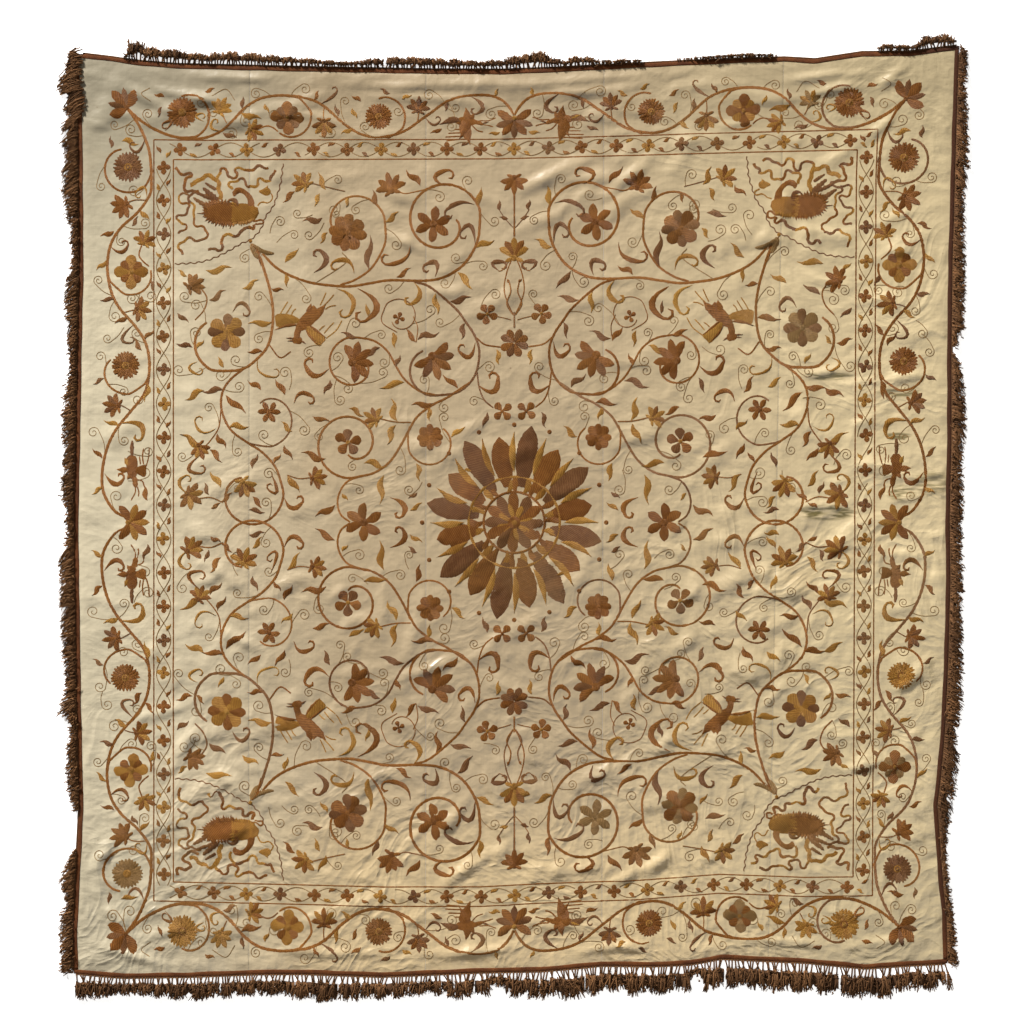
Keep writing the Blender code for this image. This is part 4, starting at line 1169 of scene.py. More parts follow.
# Flowers worn or mended in one quarter only: the signs of p and q there, its place, and its threads
CHANGED_FLOWERS = {
    (1, -1, 8.1, 29.8): "faint", (1, -1, 22.65, 40.45): "faint rust", (1, -1, 38.3, 25.05): "rust faint",
    (1, 1, 29.2, 41.55): "faint ochre", (1, 1, 28.75, 19.05): "faint plum",
    (1, -1, 16.6, 29.0): "rust faint", (-1, -1, 28.75, 19.05): "ochre rust",
    (1, -1, 38.8, 15.7): "ochre rust", (-1, 1, 16.6, 29.0): "rust", (1, -1, 33.15, 40.95): "ochre rust",
    (-1, -1, 33.15, 40.95): "ochre rust", (-1, -1, 22.65, 40.45): "ochre rust",
    (-1, -1, 38.6, 35.5): "faint ochre", (1, 1, 22.65, 40.45): "rust ochre",
    (1, 1, 38.6, 35.5): "rust ochre",
}
# Leaves: base, tip, thread
FIELD_LEAVES = (
    (18.8, 33.25, 19.6, 35.0, "ochre"), (21.9, 33.1, 23.1, 32.0, "rust"),
    (19.4, 32.9, 19.95, 31.6, "ochre"), (13.65, 31.6, 14.15, 33.25, "rust"),
    (16.5, 32.5, 16.8, 31.5, "ochre"), (12.9, 30.0, 11.5, 31.05, "ochre"),
    (19.15, 30.45, 21.2, 30.1, "plum"), (18.65, 29.0, 19.4, 27.9, "ochre"),
    (14.5, 25.25, 14.4, 28.75, "plum"), (22.9, 26.0, 21.5, 27.45, "ochre"),
    (22.9, 24.9, 22.65, 23.5, "ochre"), (24.3, 23.4, 23.0, 23.25, "rust"),
    (27.15, 23.4, 25.5, 24.3, "ochre"), (30.8, 25.25, 28.15, 25.5, "ochre"),
    (30.5, 22.25, 28.8, 23.25, "plum"), (33.65, 20.95, 32.5, 20.0, "plum"),
    (24.2, 20.05, 26.6, 19.9, "ochre"), (25.15, 17.1, 26.7, 17.05, "rust"),
    (29.0, 15.5, 29.6, 16.6, "ochre"), (31.7, 17.4, 31.0, 18.3, "ochre"),
    (32.15, 17.5, 33.8, 17.9, "rust"), (22.9, 12.75, 23.9, 14.4, "rust"),
    (25.3, 13.25, 26.65, 14.25, "ochre"), (28.8, 12.75, 26.8, 10.9, "rust"),
    (29.0, 13.25, 31.2, 13.1, "rust"), (31.0, 13.2, 32.9, 12.25, "ochre"),
    (28.5, 9.5, 26.5, 9.6, "ochre"), (22.15, 9.1, 23.3, 10.1, "ochre"), (23.0, 7.75, 22.15, 6.25, "rust"),
    (29.65, 8.9, 28.8, 7.4, "rust"), (26.15, 5.4, 25.65, 6.9, "plum"), (24.0, 5.9, 23.3, 6.9, "rust"),
    (29.3, 3.5, 30.4, 5.1, "ochre"), (30.5, 2.75, 30.95, 4.0, "plum"), (29.3, 2.1, 28.15, 3.0, "rust"),
    (30.3, 1.4, 29.3, 2.0, "rust"), (26.5, 1.25, 24.9, 1.0, "plum"), (26.15, 2.6, 25.2, 1.4, "ochre"),
    (22.65, 4.75, 21.4, 3.0, "ochre"), (18.8, 6.4, 21.3, 7.0, "rust"), (20.15, 10.6, 18.4, 10.1, "rust"),
    (16.5, 11.4, 15.0, 10.6, "ochre"), (18.4, 14.25, 19.0, 12.75, "plum"),
    (15.65, 18.45, 17.3, 19.0, "rust"), (13.4, 17.5, 14.8, 16.6, "plum"),
    (12.15, 19.0, 11.9, 17.4, "ochre"), (11.8, 15.5, 11.4, 16.75, "rust"),
    (11.0, 14.0, 13.5, 13.4, "plum"), (11.65, 10.1, 12.3, 12.4, "ochre"),
    (8.15, 11.9, 10.3, 11.75, "rust"), (8.65, 11.5, 8.4, 10.1, "ochre"),
    (5.65, 13.4, 7.15, 14.75, "rust"), (4.9, 19.9, 5.3, 18.25, "plum"), (6.4, 22.1, 4.3, 22.5, "plum"),
    (7.8, 22.9, 7.65, 20.75, "ochre"), (11.8, 24.5, 10.3, 25.45, "rust"),
    (5.65, 25.0, 4.15, 23.25, "plum"), (3.8, 27.4, 2.0, 28.2, "ochre"), (3.6, 31.5, 3.3, 33.5, "ochre"),
    (9.4, 33.6, 10.8, 35.25, "rust"), (9.65, 18.25, 7.5, 19.0, "plum"), (9.8, 18.0, 10.85, 19.4, "rust"),
    (13.0, 4.75, 13.45, 1.75, "ochre"), (15.0, 5.9, 12.65, 5.6, "ochre"), (9.8, 5.9, 9.4, 4.1, "ochre"),
    (6.3, 8.5, 4.9, 9.6, "ochre"), (17.9, 1.75, 19.9, 0.6, "rust"), (11.8, 9.75, 12.7, 7.75, "ochre"),
    (2.7, 11.0, 3.15, 9.4, "plum"), (1.8, 17.25, 1.5, 15.75, "ochre"), (0.45, 23.9, 0.75, 24.3, "rust"),
    (1.45, 31.1, 1.5, 32.2, "plum"), (0.6, 30.3, 1.5, 30.5, "plum"), (30.9, 7.6, 33.4, 8.8, "ochre"),
    (30.4, 7.3, 29.2, 6.0, "rust"), (32.7, 24.6, 33.6, 25.3, "ochre"), (5.0, 5.2, 4.2, 5.2, "ochre"),
    (17.2, 2.9, 16.6, 2.2, "ochre"), (14.6, 20.6, 14.8, 21.9, "plum"), (10.4, 1.2, 9.2, 2.0, "ochre"),
    (9.7, 3.0, 10.6, 2.4, "plum"),
)
# Hooked leaves: where they start, bend and end, thread, width
FIELD_HOOKS = (
    ((20.0, 25.0), (18.65, 26.1), (19.4, 27.2), "plum", 0.42),
    ((16.0, 24.9), (16.5, 26.2), (18.0, 26.1), "ochre", 0.36),
    ((28.15, 21.0), (27.3, 22.1), (26.45, 21.2), "plum", 0.32),
    ((31.65, 16.1), (32.6, 15.5), (31.65, 14.8), "ochre", 0.22),
    ((25.65, 16.25), (25.5, 15.0), (24.0, 14.5), "ochre", 0.2),
    ((22.0, 11.9), (21.4, 13.0), (20.15, 12.6), "rust", 0.34),
    ((29.8, 9.4), (31.2, 8.9), (31.9, 10.1), "ochre", 0.2),
    ((31.4, 6.75), (32.7, 5.3), (31.3, 4.9), "rust", 0.3),
    ((32.5, 2.75), (33.6, 3.9), (32.8, 4.7), "ochre", 0.26),
    ((23.0, 2.5), (22.2, 1.3), (21.15, 2.0), "rust", 0.36),
    ((18.5, 15.4), (19.9, 14.5), (20.9, 15.75), "rust", 0.42),
    ((3.9, 18.0), (4.4, 16.4), (5.5, 17.1), "rust", 0.34),
    ((10.0, 24.0), (9.3, 22.75), (10.3, 21.8), "ochre", 0.4),
    ((17.8, 23.4), (16.0, 22.4), (16.5, 20.7), "ochre", 0.36),
    ((15.65, 23.4), (13.5, 21.75), (14.9, 20.1), "rust", 0.46),
    ((10.4, 27.75), (10.8, 26.3), (12.65, 25.75), "rust", 0.36),
    ((7.9, 24.5), (7.65, 26.0), (8.9, 25.75), "plum", 0.38),
    ((3.9, 27.75), (4.3, 29.8), (5.4, 29.0), "plum", 0.34),
    ((4.0, 31.75), (5.4, 32.0), (6.8, 31.2), "plum", 0.36),
    ((6.9, 33.6), (8.1, 34.5), (6.65, 35.2), "rust", 0.36),
    ((3.65, 13.75), (2.0, 12.9), (1.6, 14.5), "rust", 0.42),
    ((12.4, 2.5), (10.9, 1.75), (11.2, 0.6), "rust", 0.4),
    ((24.3, 5.0), (23.6, 2.9), (24.6, 3.3), "rust", 0.26),
    ((1.5, 25.1), (2.3, 25.9), (1.1, 26.0), "plum", 0.36),
    ((24.45, 17.75), (23.4, 16.5), (22.3, 17.1), "rust", 0.12),
    ((19.9, 23.9), (16.8, 26.0), (17.2, 27.0), "faint", 0.08),
)
# Middles of the thin curled tendrils
FIELD_TENDRILS = (
    (17.65, 34.25), (21.65, 30.9), (23.4, 30.1), (20.5, 28.75), (22.0, 28.75), (18.0, 31.25),
    (15.8, 31.25), (17.8, 30.9), (11.8, 27.75), (7.5, 32.5), (4.65, 34.1), (6.9, 23.9), (5.8, 26.4),
    (2.0, 30.1), (3.15, 25.6), (12.5, 23.4), (15.9, 19.9), (8.4, 21.25), (7.4, 20.0), (13.3, 18.75),
    (13.0, 16.0), (13.15, 15.0), (20.5, 17.0), (17.65, 16.5), (16.65, 13.4), (17.4, 12.25), (25.5, 22.6),
    (25.5, 18.4), (27.8, 16.25), (32.9, 22.6), (31.8, 21.75), (31.8, 19.0), (33.5, 15.25), (29.3, 14.75),
    (27.5, 13.6), (30.5, 11.5), (22.9, 15.0), (25.0, 8.75), (21.0, 9.25), (19.5, 8.6), (27.65, 7.1),
    (33.15, 6.6), (16.15, 5.6), (11.4, 5.25), (7.0, 11.5), (7.0, 10.5), (9.0, 14.25), (4.0, 12.1),
    (2.5, 15.5), (15.5, 3.25), (10.5, 3.25), (24.5, 4.9), (24.8, 2.0), (27.65, 3.5), (26.9, 26.5),
    (20.8, 22.4), (1.9, 22.75),
)

HEAD_BORDER_STEMS = (
    (0.21, ((38.6, 41.15), (37.3, 40.05), (35.9, 39.25), (34.3, 38.65), (32.7, 38.4), (30.9, 38.5),
        (29.3, 39.15), (28.1, 40.15), (26.9, 41.45), (25.5, 42.35), (23.9, 42.7), (22.3, 42.7),
        (20.7, 42.45), (19.1, 41.75), (17.2, 40.05), (15.8, 39.05), (14.6, 38.6), (13.4, 38.5),
        (11.8, 38.8), (10.6, 39.35), (9.4, 40.25), (8.2, 41.15), (7.0, 42.05), (5.6, 42.65), (4.0, 42.9),
        (2.4, 42.85), (1.2, 42.35), (0.4, 41.45), (0.05, 40.75)), None),
    (0.17, ((34.3, 38.65), (33.4, 38.5), (32.7, 38.45)), ((32.7, 40.75), 1.8, -197)),
    (0.16, ((22.9, 42.7), (21.9, 42.6), (20.9, 42.15)), ((22.5, 40.6), 1.9, 165)),
    (0.12, ((23.6, 39.1), (24.1, 39.5), (24.7, 39.65), (25.5, 39.4)), None),
    (0.16, ((13.4, 38.55), (12.5, 38.5), (11.8, 38.75)), ((13.2, 40.6), 1.85, -163)),
    (0.06, ((9.55, 41.2), (9.6, 40.6), (9.7, 40.0)), None),
    (0.06, ((19.0, 41.6), (19.05, 40.9), (19.0, 40.2)), None),
    (0.06, ((29.2, 41.2), (29.0, 40.5), (28.7, 39.9)), None),
)
HEAD_BORDER_FLOWERS = (
    (33.15, 40.95, "round", 1.5, 0, "rust ochre"), (29.2, 41.55, "lotus", 1.05, 115, "ochre"),
    (25.9, 39.1, "lotus", 1.0, 200, "ochre rust"), (22.65, 40.45, "lobed", 1.7, 0, "rust plum"),
    (19.0, 39.5, "lotus", 1.15, 270, "rust ochre"), (13.55, 40.65, "round", 1.35, 0, "rust ochre"),
    (9.55, 41.8, "lotus", 1.05, 95, "plum rust"),
)
HEAD_BORDER_LEAVES = (
    (34.9, 42.35, 36.0, 42.65, "rust"), (35.2, 41.4, 35.6, 40.4, "rust"),
    (27.15, 41.4, 27.1, 42.6, "plum"), (27.3, 40.95, 25.2, 40.35, "ochre"),
    (29.1, 39.0, 27.7, 38.5, "plum"), (17.6, 40.6, 17.9, 41.9, "plum"), (16.2, 39.5, 17.3, 38.8, "ochre"),
    (11.2, 42.4, 10.2, 42.9, "ochre"), (6.6, 42.2, 6.9, 41.2, "plum"), (2.0, 42.8, 1.6, 43.6, "ochre"),
    (15.3, 42.2, 16.3, 42.8, "rust"), (16.2, 41.5, 15.7, 40.4, "ochre"), (7.2, 39.4, 8.4, 38.9, "rust"),
    (24.9, 41.9, 24.5, 40.9, "ochre"), (20.0, 42.3, 19.5, 43.3, "rust"), (1.4, 39.0, 2.6, 38.8, "ochre"),
    (30.9, 43.0, 29.9, 43.4, "rust"), (12.4, 43.0, 13.4, 43.5, "plum"),
)
HEAD_BORDER_HOOKS = (
    ((29.3, 39.2), (30.3, 39.4), (30.1, 40.2), "ochre", 0.22),
    ((31.0, 40.1), (31.9, 40.6), (31.2, 40.9), "ochre", 0.2),
    ((4.4, 42.8), (3.0, 41.7), (3.8, 40.9), "plum", 0.34),
    ((8.9, 40.6), (8.1, 39.7), (7.4, 40.2), "plum", 0.22),
    ((34.9, 39.1), (34.1, 40.1), (35.0, 39.9), "rust", 0.22),
    ((19.4, 41.9), (18.3, 42.5), (17.7, 43.2), "plum", 0.26),
    ((36.3, 41.9), (37.2, 42.6), (36.4, 43.2), "faint", 0.06),
    ((27.9, 42.2), (28.8, 43.3), (30.2, 42.6), "faint", 0.06),
)
HEAD_BORDER_TENDRILS = (
    (36.6, 40.7), (31.3, 41.9), (30.1, 40.9), (25.8, 42.9), (24.0, 40.7), (20.9, 43.4), (18.3, 39.0),
    (28.2, 38.9), (16.9, 42.2), (14.9, 39.6), (11.6, 41.2), (8.5, 42.9), (6.3, 39.6), (2.3, 40.9),
    (5.9, 41.6), (26.8, 40.1),
)
SIDE_BORDER_STEMS = (
    (0.21, ((38.6, 41.05), (37.7, 39.95), (36.9, 38.4), (36.4, 36.75), (36.25, 34.25), (36.4, 32.75),
        (37.6, 31.0), (39.35, 29.4), (40.35, 27.75), (40.7, 25.5), (40.35, 23.25), (39.5, 21.5),
        (37.85, 19.6), (36.85, 18.0), (36.45, 16.25), (36.5, 14.5), (37.0, 12.75), (38.35, 11.0),
        (39.7, 9.25), (40.6, 7.25), (41.0, 5.0), (40.85, 3.0), (39.85, 1.25), (38.7, 0.5)), None),
    (0.17, ((36.25, 35.6), (36.2, 35.0), (36.3, 34.4)), ((38.6, 35.5), 1.9, 225)),
    (0.16, ((40.65, 25.2), (40.5, 24.3), (40.0, 23.6)), ((38.25, 24.95), 1.95, -150)),
    (0.12, ((36.5, 25.6), (37.1, 26.1), (37.5, 26.75), (37.2, 27.75)), None),
    (0.16, ((36.5, 15.6), (36.5, 14.6), (37.2, 13.4)), ((38.75, 15.3), 1.7, 172)),
    (0.06, ((38.9, 21.0), (38.2, 21.2), (37.4, 21.25)), None),
    (0.06, ((38.3, 11.2), (39.2, 11.7), (39.8, 11.75)), None),
    (0.06, ((36.7, 32.2), (38.0, 32.2), (39.1, 31.7)), None),
)
SIDE_BORDER_FLOWERS = (
    (38.6, 35.5, "round", 1.5, 0, "plum ochre"), (39.3, 31.5, "lotus", 1.2, -30, "rust"),
    (36.8, 28.4, "lotus", 1.0, 110, "ochre rust"), (38.3, 25.05, "lobed", 1.7, 0, "ochre rust"),
    (37.1, 21.25, "lotus", 1.1, 190, "rust ochre"), (38.8, 15.7, "round", 1.4, 0, "rust ochre"),
    (40.1, 11.75, "lotus", 1.1, 10, "rust plum"),
)
SIDE_BORDER_LEAVES = (
    (39.2, 38.1, 37.5, 37.8, "ochre"), (40.3, 37.4, 40.3, 38.6, "plum"),
    (37.4, 31.2, 36.4, 30.2, "ochre"), (40.0, 29.1, 41.4, 28.6, "rust"),
    (40.8, 26.2, 41.8, 25.2, "ochre"), (39.9, 22.3, 41.4, 22.2, "plum"),
    (38.6, 20.6, 39.9, 19.9, "ochre"), (36.9, 18.2, 36.0, 19.3, "rust"),
    (36.6, 13.9, 36.9, 12.0, "ochre"), (40.9, 14.4, 42.0, 13.8, "plum"), (39.4, 9.6, 40.9, 10.2, "ochre"),
    (41.0, 6.4, 42.0, 7.4, "rust"), (40.9, 3.5, 42.0, 2.8, "ochre"), (36.6, 2.2, 37.0, 3.8, "rust"),
    (36.4, 24.2, 35.9, 23.0, "plum"), (37.2, 17.2, 38.0, 18.4, "rust"), (38.2, 29.6, 37.6, 30.6, "plum"),
)
SIDE_BORDER_HOOKS = (
    ((39.3, 9.9), (37.3, 9.9), (37.1, 8.5), "ochre", 0.42),
    ((40.8, 4.9), (39.7, 3.7), (38.9, 4.4), "rust", 0.36),
    ((36.9, 38.3), (37.6, 36.9), (38.4, 37.5), "plum", 0.24),
    ((40.4, 27.6), (39.3, 26.9), (38.6, 27.7), "rust", 0.28),
    ((38.0, 19.8), (39.3, 18.3), (38.3, 17.9), "plum", 0.26),
    ((36.7, 32.4), (36.9, 33.6), (37.8, 33.0), "ochre", 0.2),
)
SIDE_BORDER_TENDRILS = (
    (38.3, 39.2), (39.9, 39.6), (41.3, 33.6), (38.0, 33.2), (36.9, 29.9), (39.3, 28.1), (41.6, 24.2),
    (36.3, 22.6), (39.9, 20.6), (37.7, 18.9), (41.3, 16.6), (37.6, 12.3), (39.0, 13.1), (38.9, 8.2),
    (36.6, 7.1), (39.6, 2.6), (36.9, 5.0), (41.9, 9.0), (40.6, 18.4), (38.2, 22.4),
)
# How many units of the guard's vine there are across and along
GUARD_UNITS_ACROSS = 21
GUARD_UNITS_ALONG = 22

# Widths of a petal or leaf along its length, as shares of its half width
ROUND_PETAL = (0.30, 0.38, 0.50, 0.66, 0.82, 0.94, 1.00, 0.99, 0.90, 0.70, 0.34)
POINTED_PETAL = (0.34, 0.52, 0.72, 0.90, 1.00, 0.99, 0.88, 0.62, 0.06)
LEAF = (0.05, 0.42, 0.80, 1.00, 0.96, 0.76, 0.48, 0.22, 0.03)
HOOK = (0.10, 0.22, 0.40, 0.62, 0.84, 0.98, 1.00, 0.88, 0.66, 0.48, 0.42, 0.52, 0.46, 0.20)
PLUME = (0.55, 0.85, 1.00, 0.98, 0.92, 0.96, 0.90, 0.72, 0.40)
WING = (0.34, 0.42, 0.54, 0.66, 0.78, 0.88, 0.96, 1.00, 0.84)
NECK = (1.00, 0.88, 0.76, 0.68, 0.62, 0.60, 0.62, 0.72, 0.80, 0.66, 0.30)
BODY = (0.30, 0.62, 0.84, 0.96, 1.00, 1.00, 1.00, 1.00, 1.00)
RAGGED = (0.55, 0.95, 0.72, 1.00, 0.70, 0.96, 0.66, 0.80, 0.50, 0.60, 0.20)
SMALL_PETAL = (0.34, 0.76, 1.00, 0.94, 0.36)
BLANK_COLUMNS = 5
# How far across and how raised the points of a line are, for a thread that lies flat and for a couched cord
FLAT_THREAD = (np.array([-1.0, 1.0]), np.array([0.8, 0.8]))
ROUND_CORD = (np.array([-1.0, 0.0, 1.0]), np.array([0.0, 1.0, 0.0]))
THIN = 0.08
LONGEST_TAIL = 2.8
USUAL_TINT = 0.38
TINT_SPREAD = 0.12
THREADS = {"rust": RUST, "plum": PLUM, "ochre": OCHRE, "faint": FAINT}


def blank(widths):
    """A satin-stitched shape, worked as a grid: rows drawn in to their widths, the middle raised.

    Returns how far across, along and raised each point is, one row of points for each width.
    """
    cells = len(widths) - 1
    bpy.ops.mesh.primitive_grid_add(x_subdivisions=BLANK_COLUMNS - 1, y_subdivisions=cells, size=2.0)
    shape = bpy.context.object
    points = shape.data.vertices
    rows = [[p.index for p in points if abs((p.co.y + 1) * cells / 2 - n) < 0.01] for n in range(cells + 1)]
    middle = [p.index for p in points if abs(p.co.x) < 0.9]
    for n, row in enumerate(rows):
        pick(shape, row)
        y = -1 + 2 * n / cells
        bpy.ops.object.mode_set(mode="EDIT")
        bpy.ops.transform.resize(value=(widths[n], 1, 1), center_override=(0, y, 0))
        bpy.ops.object.mode_set(mode="OBJECT")
    pick(shape, middle)
    bpy.ops.object.mode_set(mode="EDIT")
    bpy.ops.transform.translate(value=(0, 0, 1))
    bpy.ops.object.mode_set(mode="OBJECT")
    points = shape.data.vertices
    rows = [sorted(row, key=lambda k: points[k].co.x) for row in rows]
    read = np.array([[points[k].co[:] for k in row] for row in rows])
    bpy.data.objects.remove(shape, do_unlink=True)
    read[..., 1] = (read[..., 1] + 1) / 2
    read[[0, -1], :, 2] *= 0.35
    return read


def finer(form, rows=27, columns=9):
    """The same shape with more points, for a patch that lies over several creases."""
    row, column = np.linspace(0, len(form) - 1, rows), np.linspace(0, form.shape[1] - 1, columns)
    i, j = np.minimum(row.astype(int), len(form) - 2), np.minimum(column.astype(int), form.shape[1] - 2)
    a, b = (row - i)[:, None, None], (column - j)[None, :, None]
    near = form[i][:, j] * (1 - b) + form[i][:, j + 1] * b
    far = form[i + 1][:, j] * (1 - b) + form[i + 1][:, j + 1] * b
    return near * (1 - a) + far * a


def pick(shape, chosen):
    """Selects these points and nothing else."""
    bpy.ops.object.mode_set(mode="EDIT")
    bpy.ops.mesh.select_all(action="DESELECT")
    bpy.ops.object.mode_set(mode="OBJECT")
    for k in chosen:
        shape.data.vertices[k].select = True


def smooth_route(places, step):
    """A soft curve through the places, in even steps."""
    places = np.array(places, float)
    if len(places) == 2:
        fine = places[0] + (places[1] - places[0]) * np.linspace(0, 1, 20)[:, None]
    else:
        ends = np.concatenate([[2 * places[0] - places[1]], places, [2 * places[-1] - places[-2]]])
        t = np.linspace(0, 1, 12, endpoint=False)[:, None]
        runs = []
        for a, b, c, d in zip(ends, ends[1:], ends[2:], ends[3:]):
            runs.append(0.5 * (2 * b + (c - a) * t + (2 * a - 5 * b + 4 * c - d) * t**2
                               + (3 * b - a - 3 * c + d) * t**3))
        fine = np.concatenate(runs + [places[-1:]])
    return even_steps(fine, step)


def even_steps(fine, step):
    """The route in even steps of about this length."""
    return spread_out(fine, max(3, int(round(length_along(fine)[-1] / step)) + 1))


def spread_out(fine, count):
    """The route as this many even places."""
    length = length_along(fine)
    wanted = np.linspace(0, length[-1], count)
    return np.stack([np.interp(wanted, length, fine[:, k]) for k in (0, 1)], axis=1)


def scroll(start, middle, end_radius, turn, closing=2.6):
    """A spiral from a place round its middle, which closes in towards its end."""
    middle = np.array(middle, float)
    arm = np.array(start, float) - middle
    radius, angle = math.hypot(*arm), math.atan2(arm[1], arm[0])
    t = np.linspace(0, 1, max(12, int(abs(turn) / 9)))
    angles = angle + math.radians(turn) * t
    radii = radius + (end_radius - radius) * t**closing
    return middle + np.stack([np.cos(angles) * radii, np.sin(angles) * radii], axis=1)


class Stitching:
    """Every patch of embroidery, gathered by thread, on the flat pattern."""

    def __init__(self, forms):
        self.forms = forms
        self.patches = {thread: [] for thread in THREADS}
        self.mirror = np.array([1.0, 1.0])
        self.order = 0

    def lay(self, thread, plan, rise, uv, tint=None):
        """plan holds rows and columns of places in squares, rise how far each is raised, from 0 to 1."""
        tone = float(np.clip(rng.normal(USUAL_TINT if tint is None else tint, TINT_SPREAD), 0, 1))
        plan = plan * self.mirror
        mid = len(plan) // 2
        side = plan[mid, -1] - plan[mid, 0]
        ahead = plan[mid + 1].mean(axis=0) - plan[mid].mean(axis=0)
        if side[0] * ahead[1] - side[1] * ahead[0] < 0:
            plan, rise, uv = plan[:, ::-1], rise[:, ::-1], uv[:, ::-1]
        self.order += 1
        self.patches[thread].append((plan, rise, uv * SQUARE, tone, (self.order % PATCH_TURNS) / PATCH_TURNS))

    def sew(self, thread, route, across, raised, tint, ragged=None):
        """Lays stitches along a route, from how far across it and how raised their points are."""
        plan = route[:, None, :] + beside_route(route)[:, None, :] * across[..., None]
        if ragged is not None:
            plan = plan + rng.normal(0, ragged, plan.shape)
        uv = np.stack(np.broadcast_arrays(across, length_along(route)[:, None]), axis=2)
        self.lay(thread, plan, raised, uv, tint)

    def shape(self, thread, form, spine, half_width, rise=1.0, tint=None):
        """Lays a form along a spine of places, from its base to its tip."""
        form = self.forms[form]
        route = spread_out(smooth_route(spine, 0.03), len(form))
        ragged = min(0.018, 0.12 * np.linalg.norm(route[-1] - route[0]) / len(form))
        self.sew(thread, route, form[..., 0] * half_width, form[..., 2] * rise, tint, ragged)

    def line(self, thread, route, half_width, rise=1.0, tint=None, taper=0.25):
        """A couched cord along a route, thinner at both ends."""
        route = np.asarray(route)
        if len(route) < 3:
            return
        share = np.linspace(0, 1, len(route))
        thin = np.minimum(1, np.minimum(share, 1 - share) * 12 + 1 - taper)
        uneven = 1 + 0.10 * np.sin(np.arange(len(route)) * 1.7 + rng.uniform(0, 6))
        section = FLAT_THREAD if half_width < THIN else ROUND_CORD
        across = section[0][None, :] * (half_width * thin * uneven)[:, None]
        self.sew(thread, route, across, np.broadcast_to(section[1], across.shape) * rise, tint)

    def disc(self, thread, middle, radius, rise=1.0, tint=None):
        """A round eye, worked from its middle outwards."""
        angles = np.linspace(0, 2 * math.pi, 13)
        radii = np.array([0.02, 0.45, 0.85, 1.0]) * radius
        plan = np.array(middle) + radii[:, None, None] * np.stack([np.cos(angles), np.sin(angles)], axis=1)
        raised = np.broadcast_to(np.array([1.0, 1.0, 0.8, 0.0])[:, None], plan.shape[:2]) * rise
        uv = np.stack(np.broadcast_arrays(radii[:, None], angles[None, :] * radius), axis=2)
        self.lay(thread, plan, raised, uv, tint)


def off(place, radius, degrees):
    """The place this far off in a direction, in degrees anticlockwise from p."""
    angle = math.radians(degrees)
    return (place[0] + radius * math.cos(angle), place[1] + radius * math.sin(angle))


def ring_of_petals(work, middle, inner, radius, count, turn, threads, form, width, tint=0.28):
    """Petals all round a middle, in the given threads by turns."""
    for n in range(count):
        angle = turn + 360 * n / count + rng.normal(0, 1.5)
        reach = radius * rng.uniform(0.97, 1.03)
        side = off((0, 0), rng.normal(0, 0.05) * radius, angle + 90)
        half = off(middle, (inner + reach) / 2, angle)
        spine = (off(middle, inner, angle), (half[0] + side[0], half[1] + side[1]), off(middle, reach, angle))
        work.shape(threads[n % len(threads)], form, spine, width, 1.0, tint)


def fan_of_petals(work, base, radius, count, facing, spread, threads, width, longer=0.18):
    """Petals opened like a fan, the outermost laid first and the middle one last and longest."""
    order = sorted(range(count), key=lambda n: -abs(n - (count - 1) / 2))
    for n in order:
        share = (n - (count - 1) / 2) / max(1, (count - 1) / 2)
        angle = facing + spread * share
        reach = radius * (1 + longer * (1 - abs(share))) * rng.uniform(0.95, 1.05)
        curl = off((0, 0), -0.10 * radius * share, angle + 90)
        half = off(base, reach * 0.55, angle)
        half = (half[0] + curl[0], half[1] + curl[1])
        spine = (off(base, 0.08 * radius, angle), half, off(base, reach, angle))
        work.shape(threads[n % len(threads)], "pointed", spine, width, 1.0, 0.30)


# Round flowers, from the lowest part up. Sizes are shares of the flower's radius. A ring of petals has inner
# and outer radius, count, turn, threads, form, half width, tint. An eye has thread, radius, rise, tint.
ROUND_FLOWERS = {
    "rosette": (
        (0.10, 1.02, 4, 0, "second", "round", 0.31, 0.28), (0.08, 1.0, 4, 45, "main", "round", 0.39, 0.28),
        (0.02, 0.46, 8, 22, "main", "round", 0.17, 0.28), ("main", 0.16, 1.2, 0.6)),
    "round": (
        ("main", 0.84, 0.6, 0.15), (0.30, 1.0, 26, 0, "main", "small", 0.145, 0.28),
        (0.20, 0.60, 14, 8, "main", "small", 0.15, 0.2), ("second", 0.30, 1.2, 0.25),
        ("main", 0.20, 1.35, 0.5), ("ochre", 0.09, 1.5, 0.7)),
    "lobed": (
        (0.12, 0.80, 4, 45, "second", "round", 0.30, 0.28), (0.05, 1.0, 4, 0, "main", "round", 0.37, 0.28),
        ("main", 0.26, 1.3, 0.2), ("ochre", 0.14, 1.5, None)),
    "star": ((0.08, 1.0, 6, 0, "main", "pointed", 0.27, 0.28), ("main", 0.22, 1.2, 0.3)),
    "pairs": ((0.05, 1.0, 8, 22.5, "main second", "round", 0.30, 0.28),),
    "cinquefoil": ((0.16, 1.0, 5, 0, "main second", "round", 0.40, 0.28), ("ochre", 0.17, 1.2, None)),
    "quatrefoil": ((0.12, 1.0, 4, 0, "main second", "round", 0.40, 0.28), ("second", 0.16, 1.2, None)),
}
# Leaves of the two mirrored flower forms, in the order that they are laid: turns from the middle, thread,
# reach, half width, and for the lily how far the middle of the leaf is turned away
SPRAY = (
    ((122, -122), "main", 1.15, 0.27), ((72, -72), "second", 1.12, 0.24), ((-37, 37), "main", 1.18, 0.27),
    ((0,), "second", 1.12, 0.23),
)
LILY = (
    ((-69, 69), "main", 1.48, 0.40, -9), ((0,), "main", 1.60, 0.44, 0), ((35, -35), "second", 1.46, 0.26, 2),
)


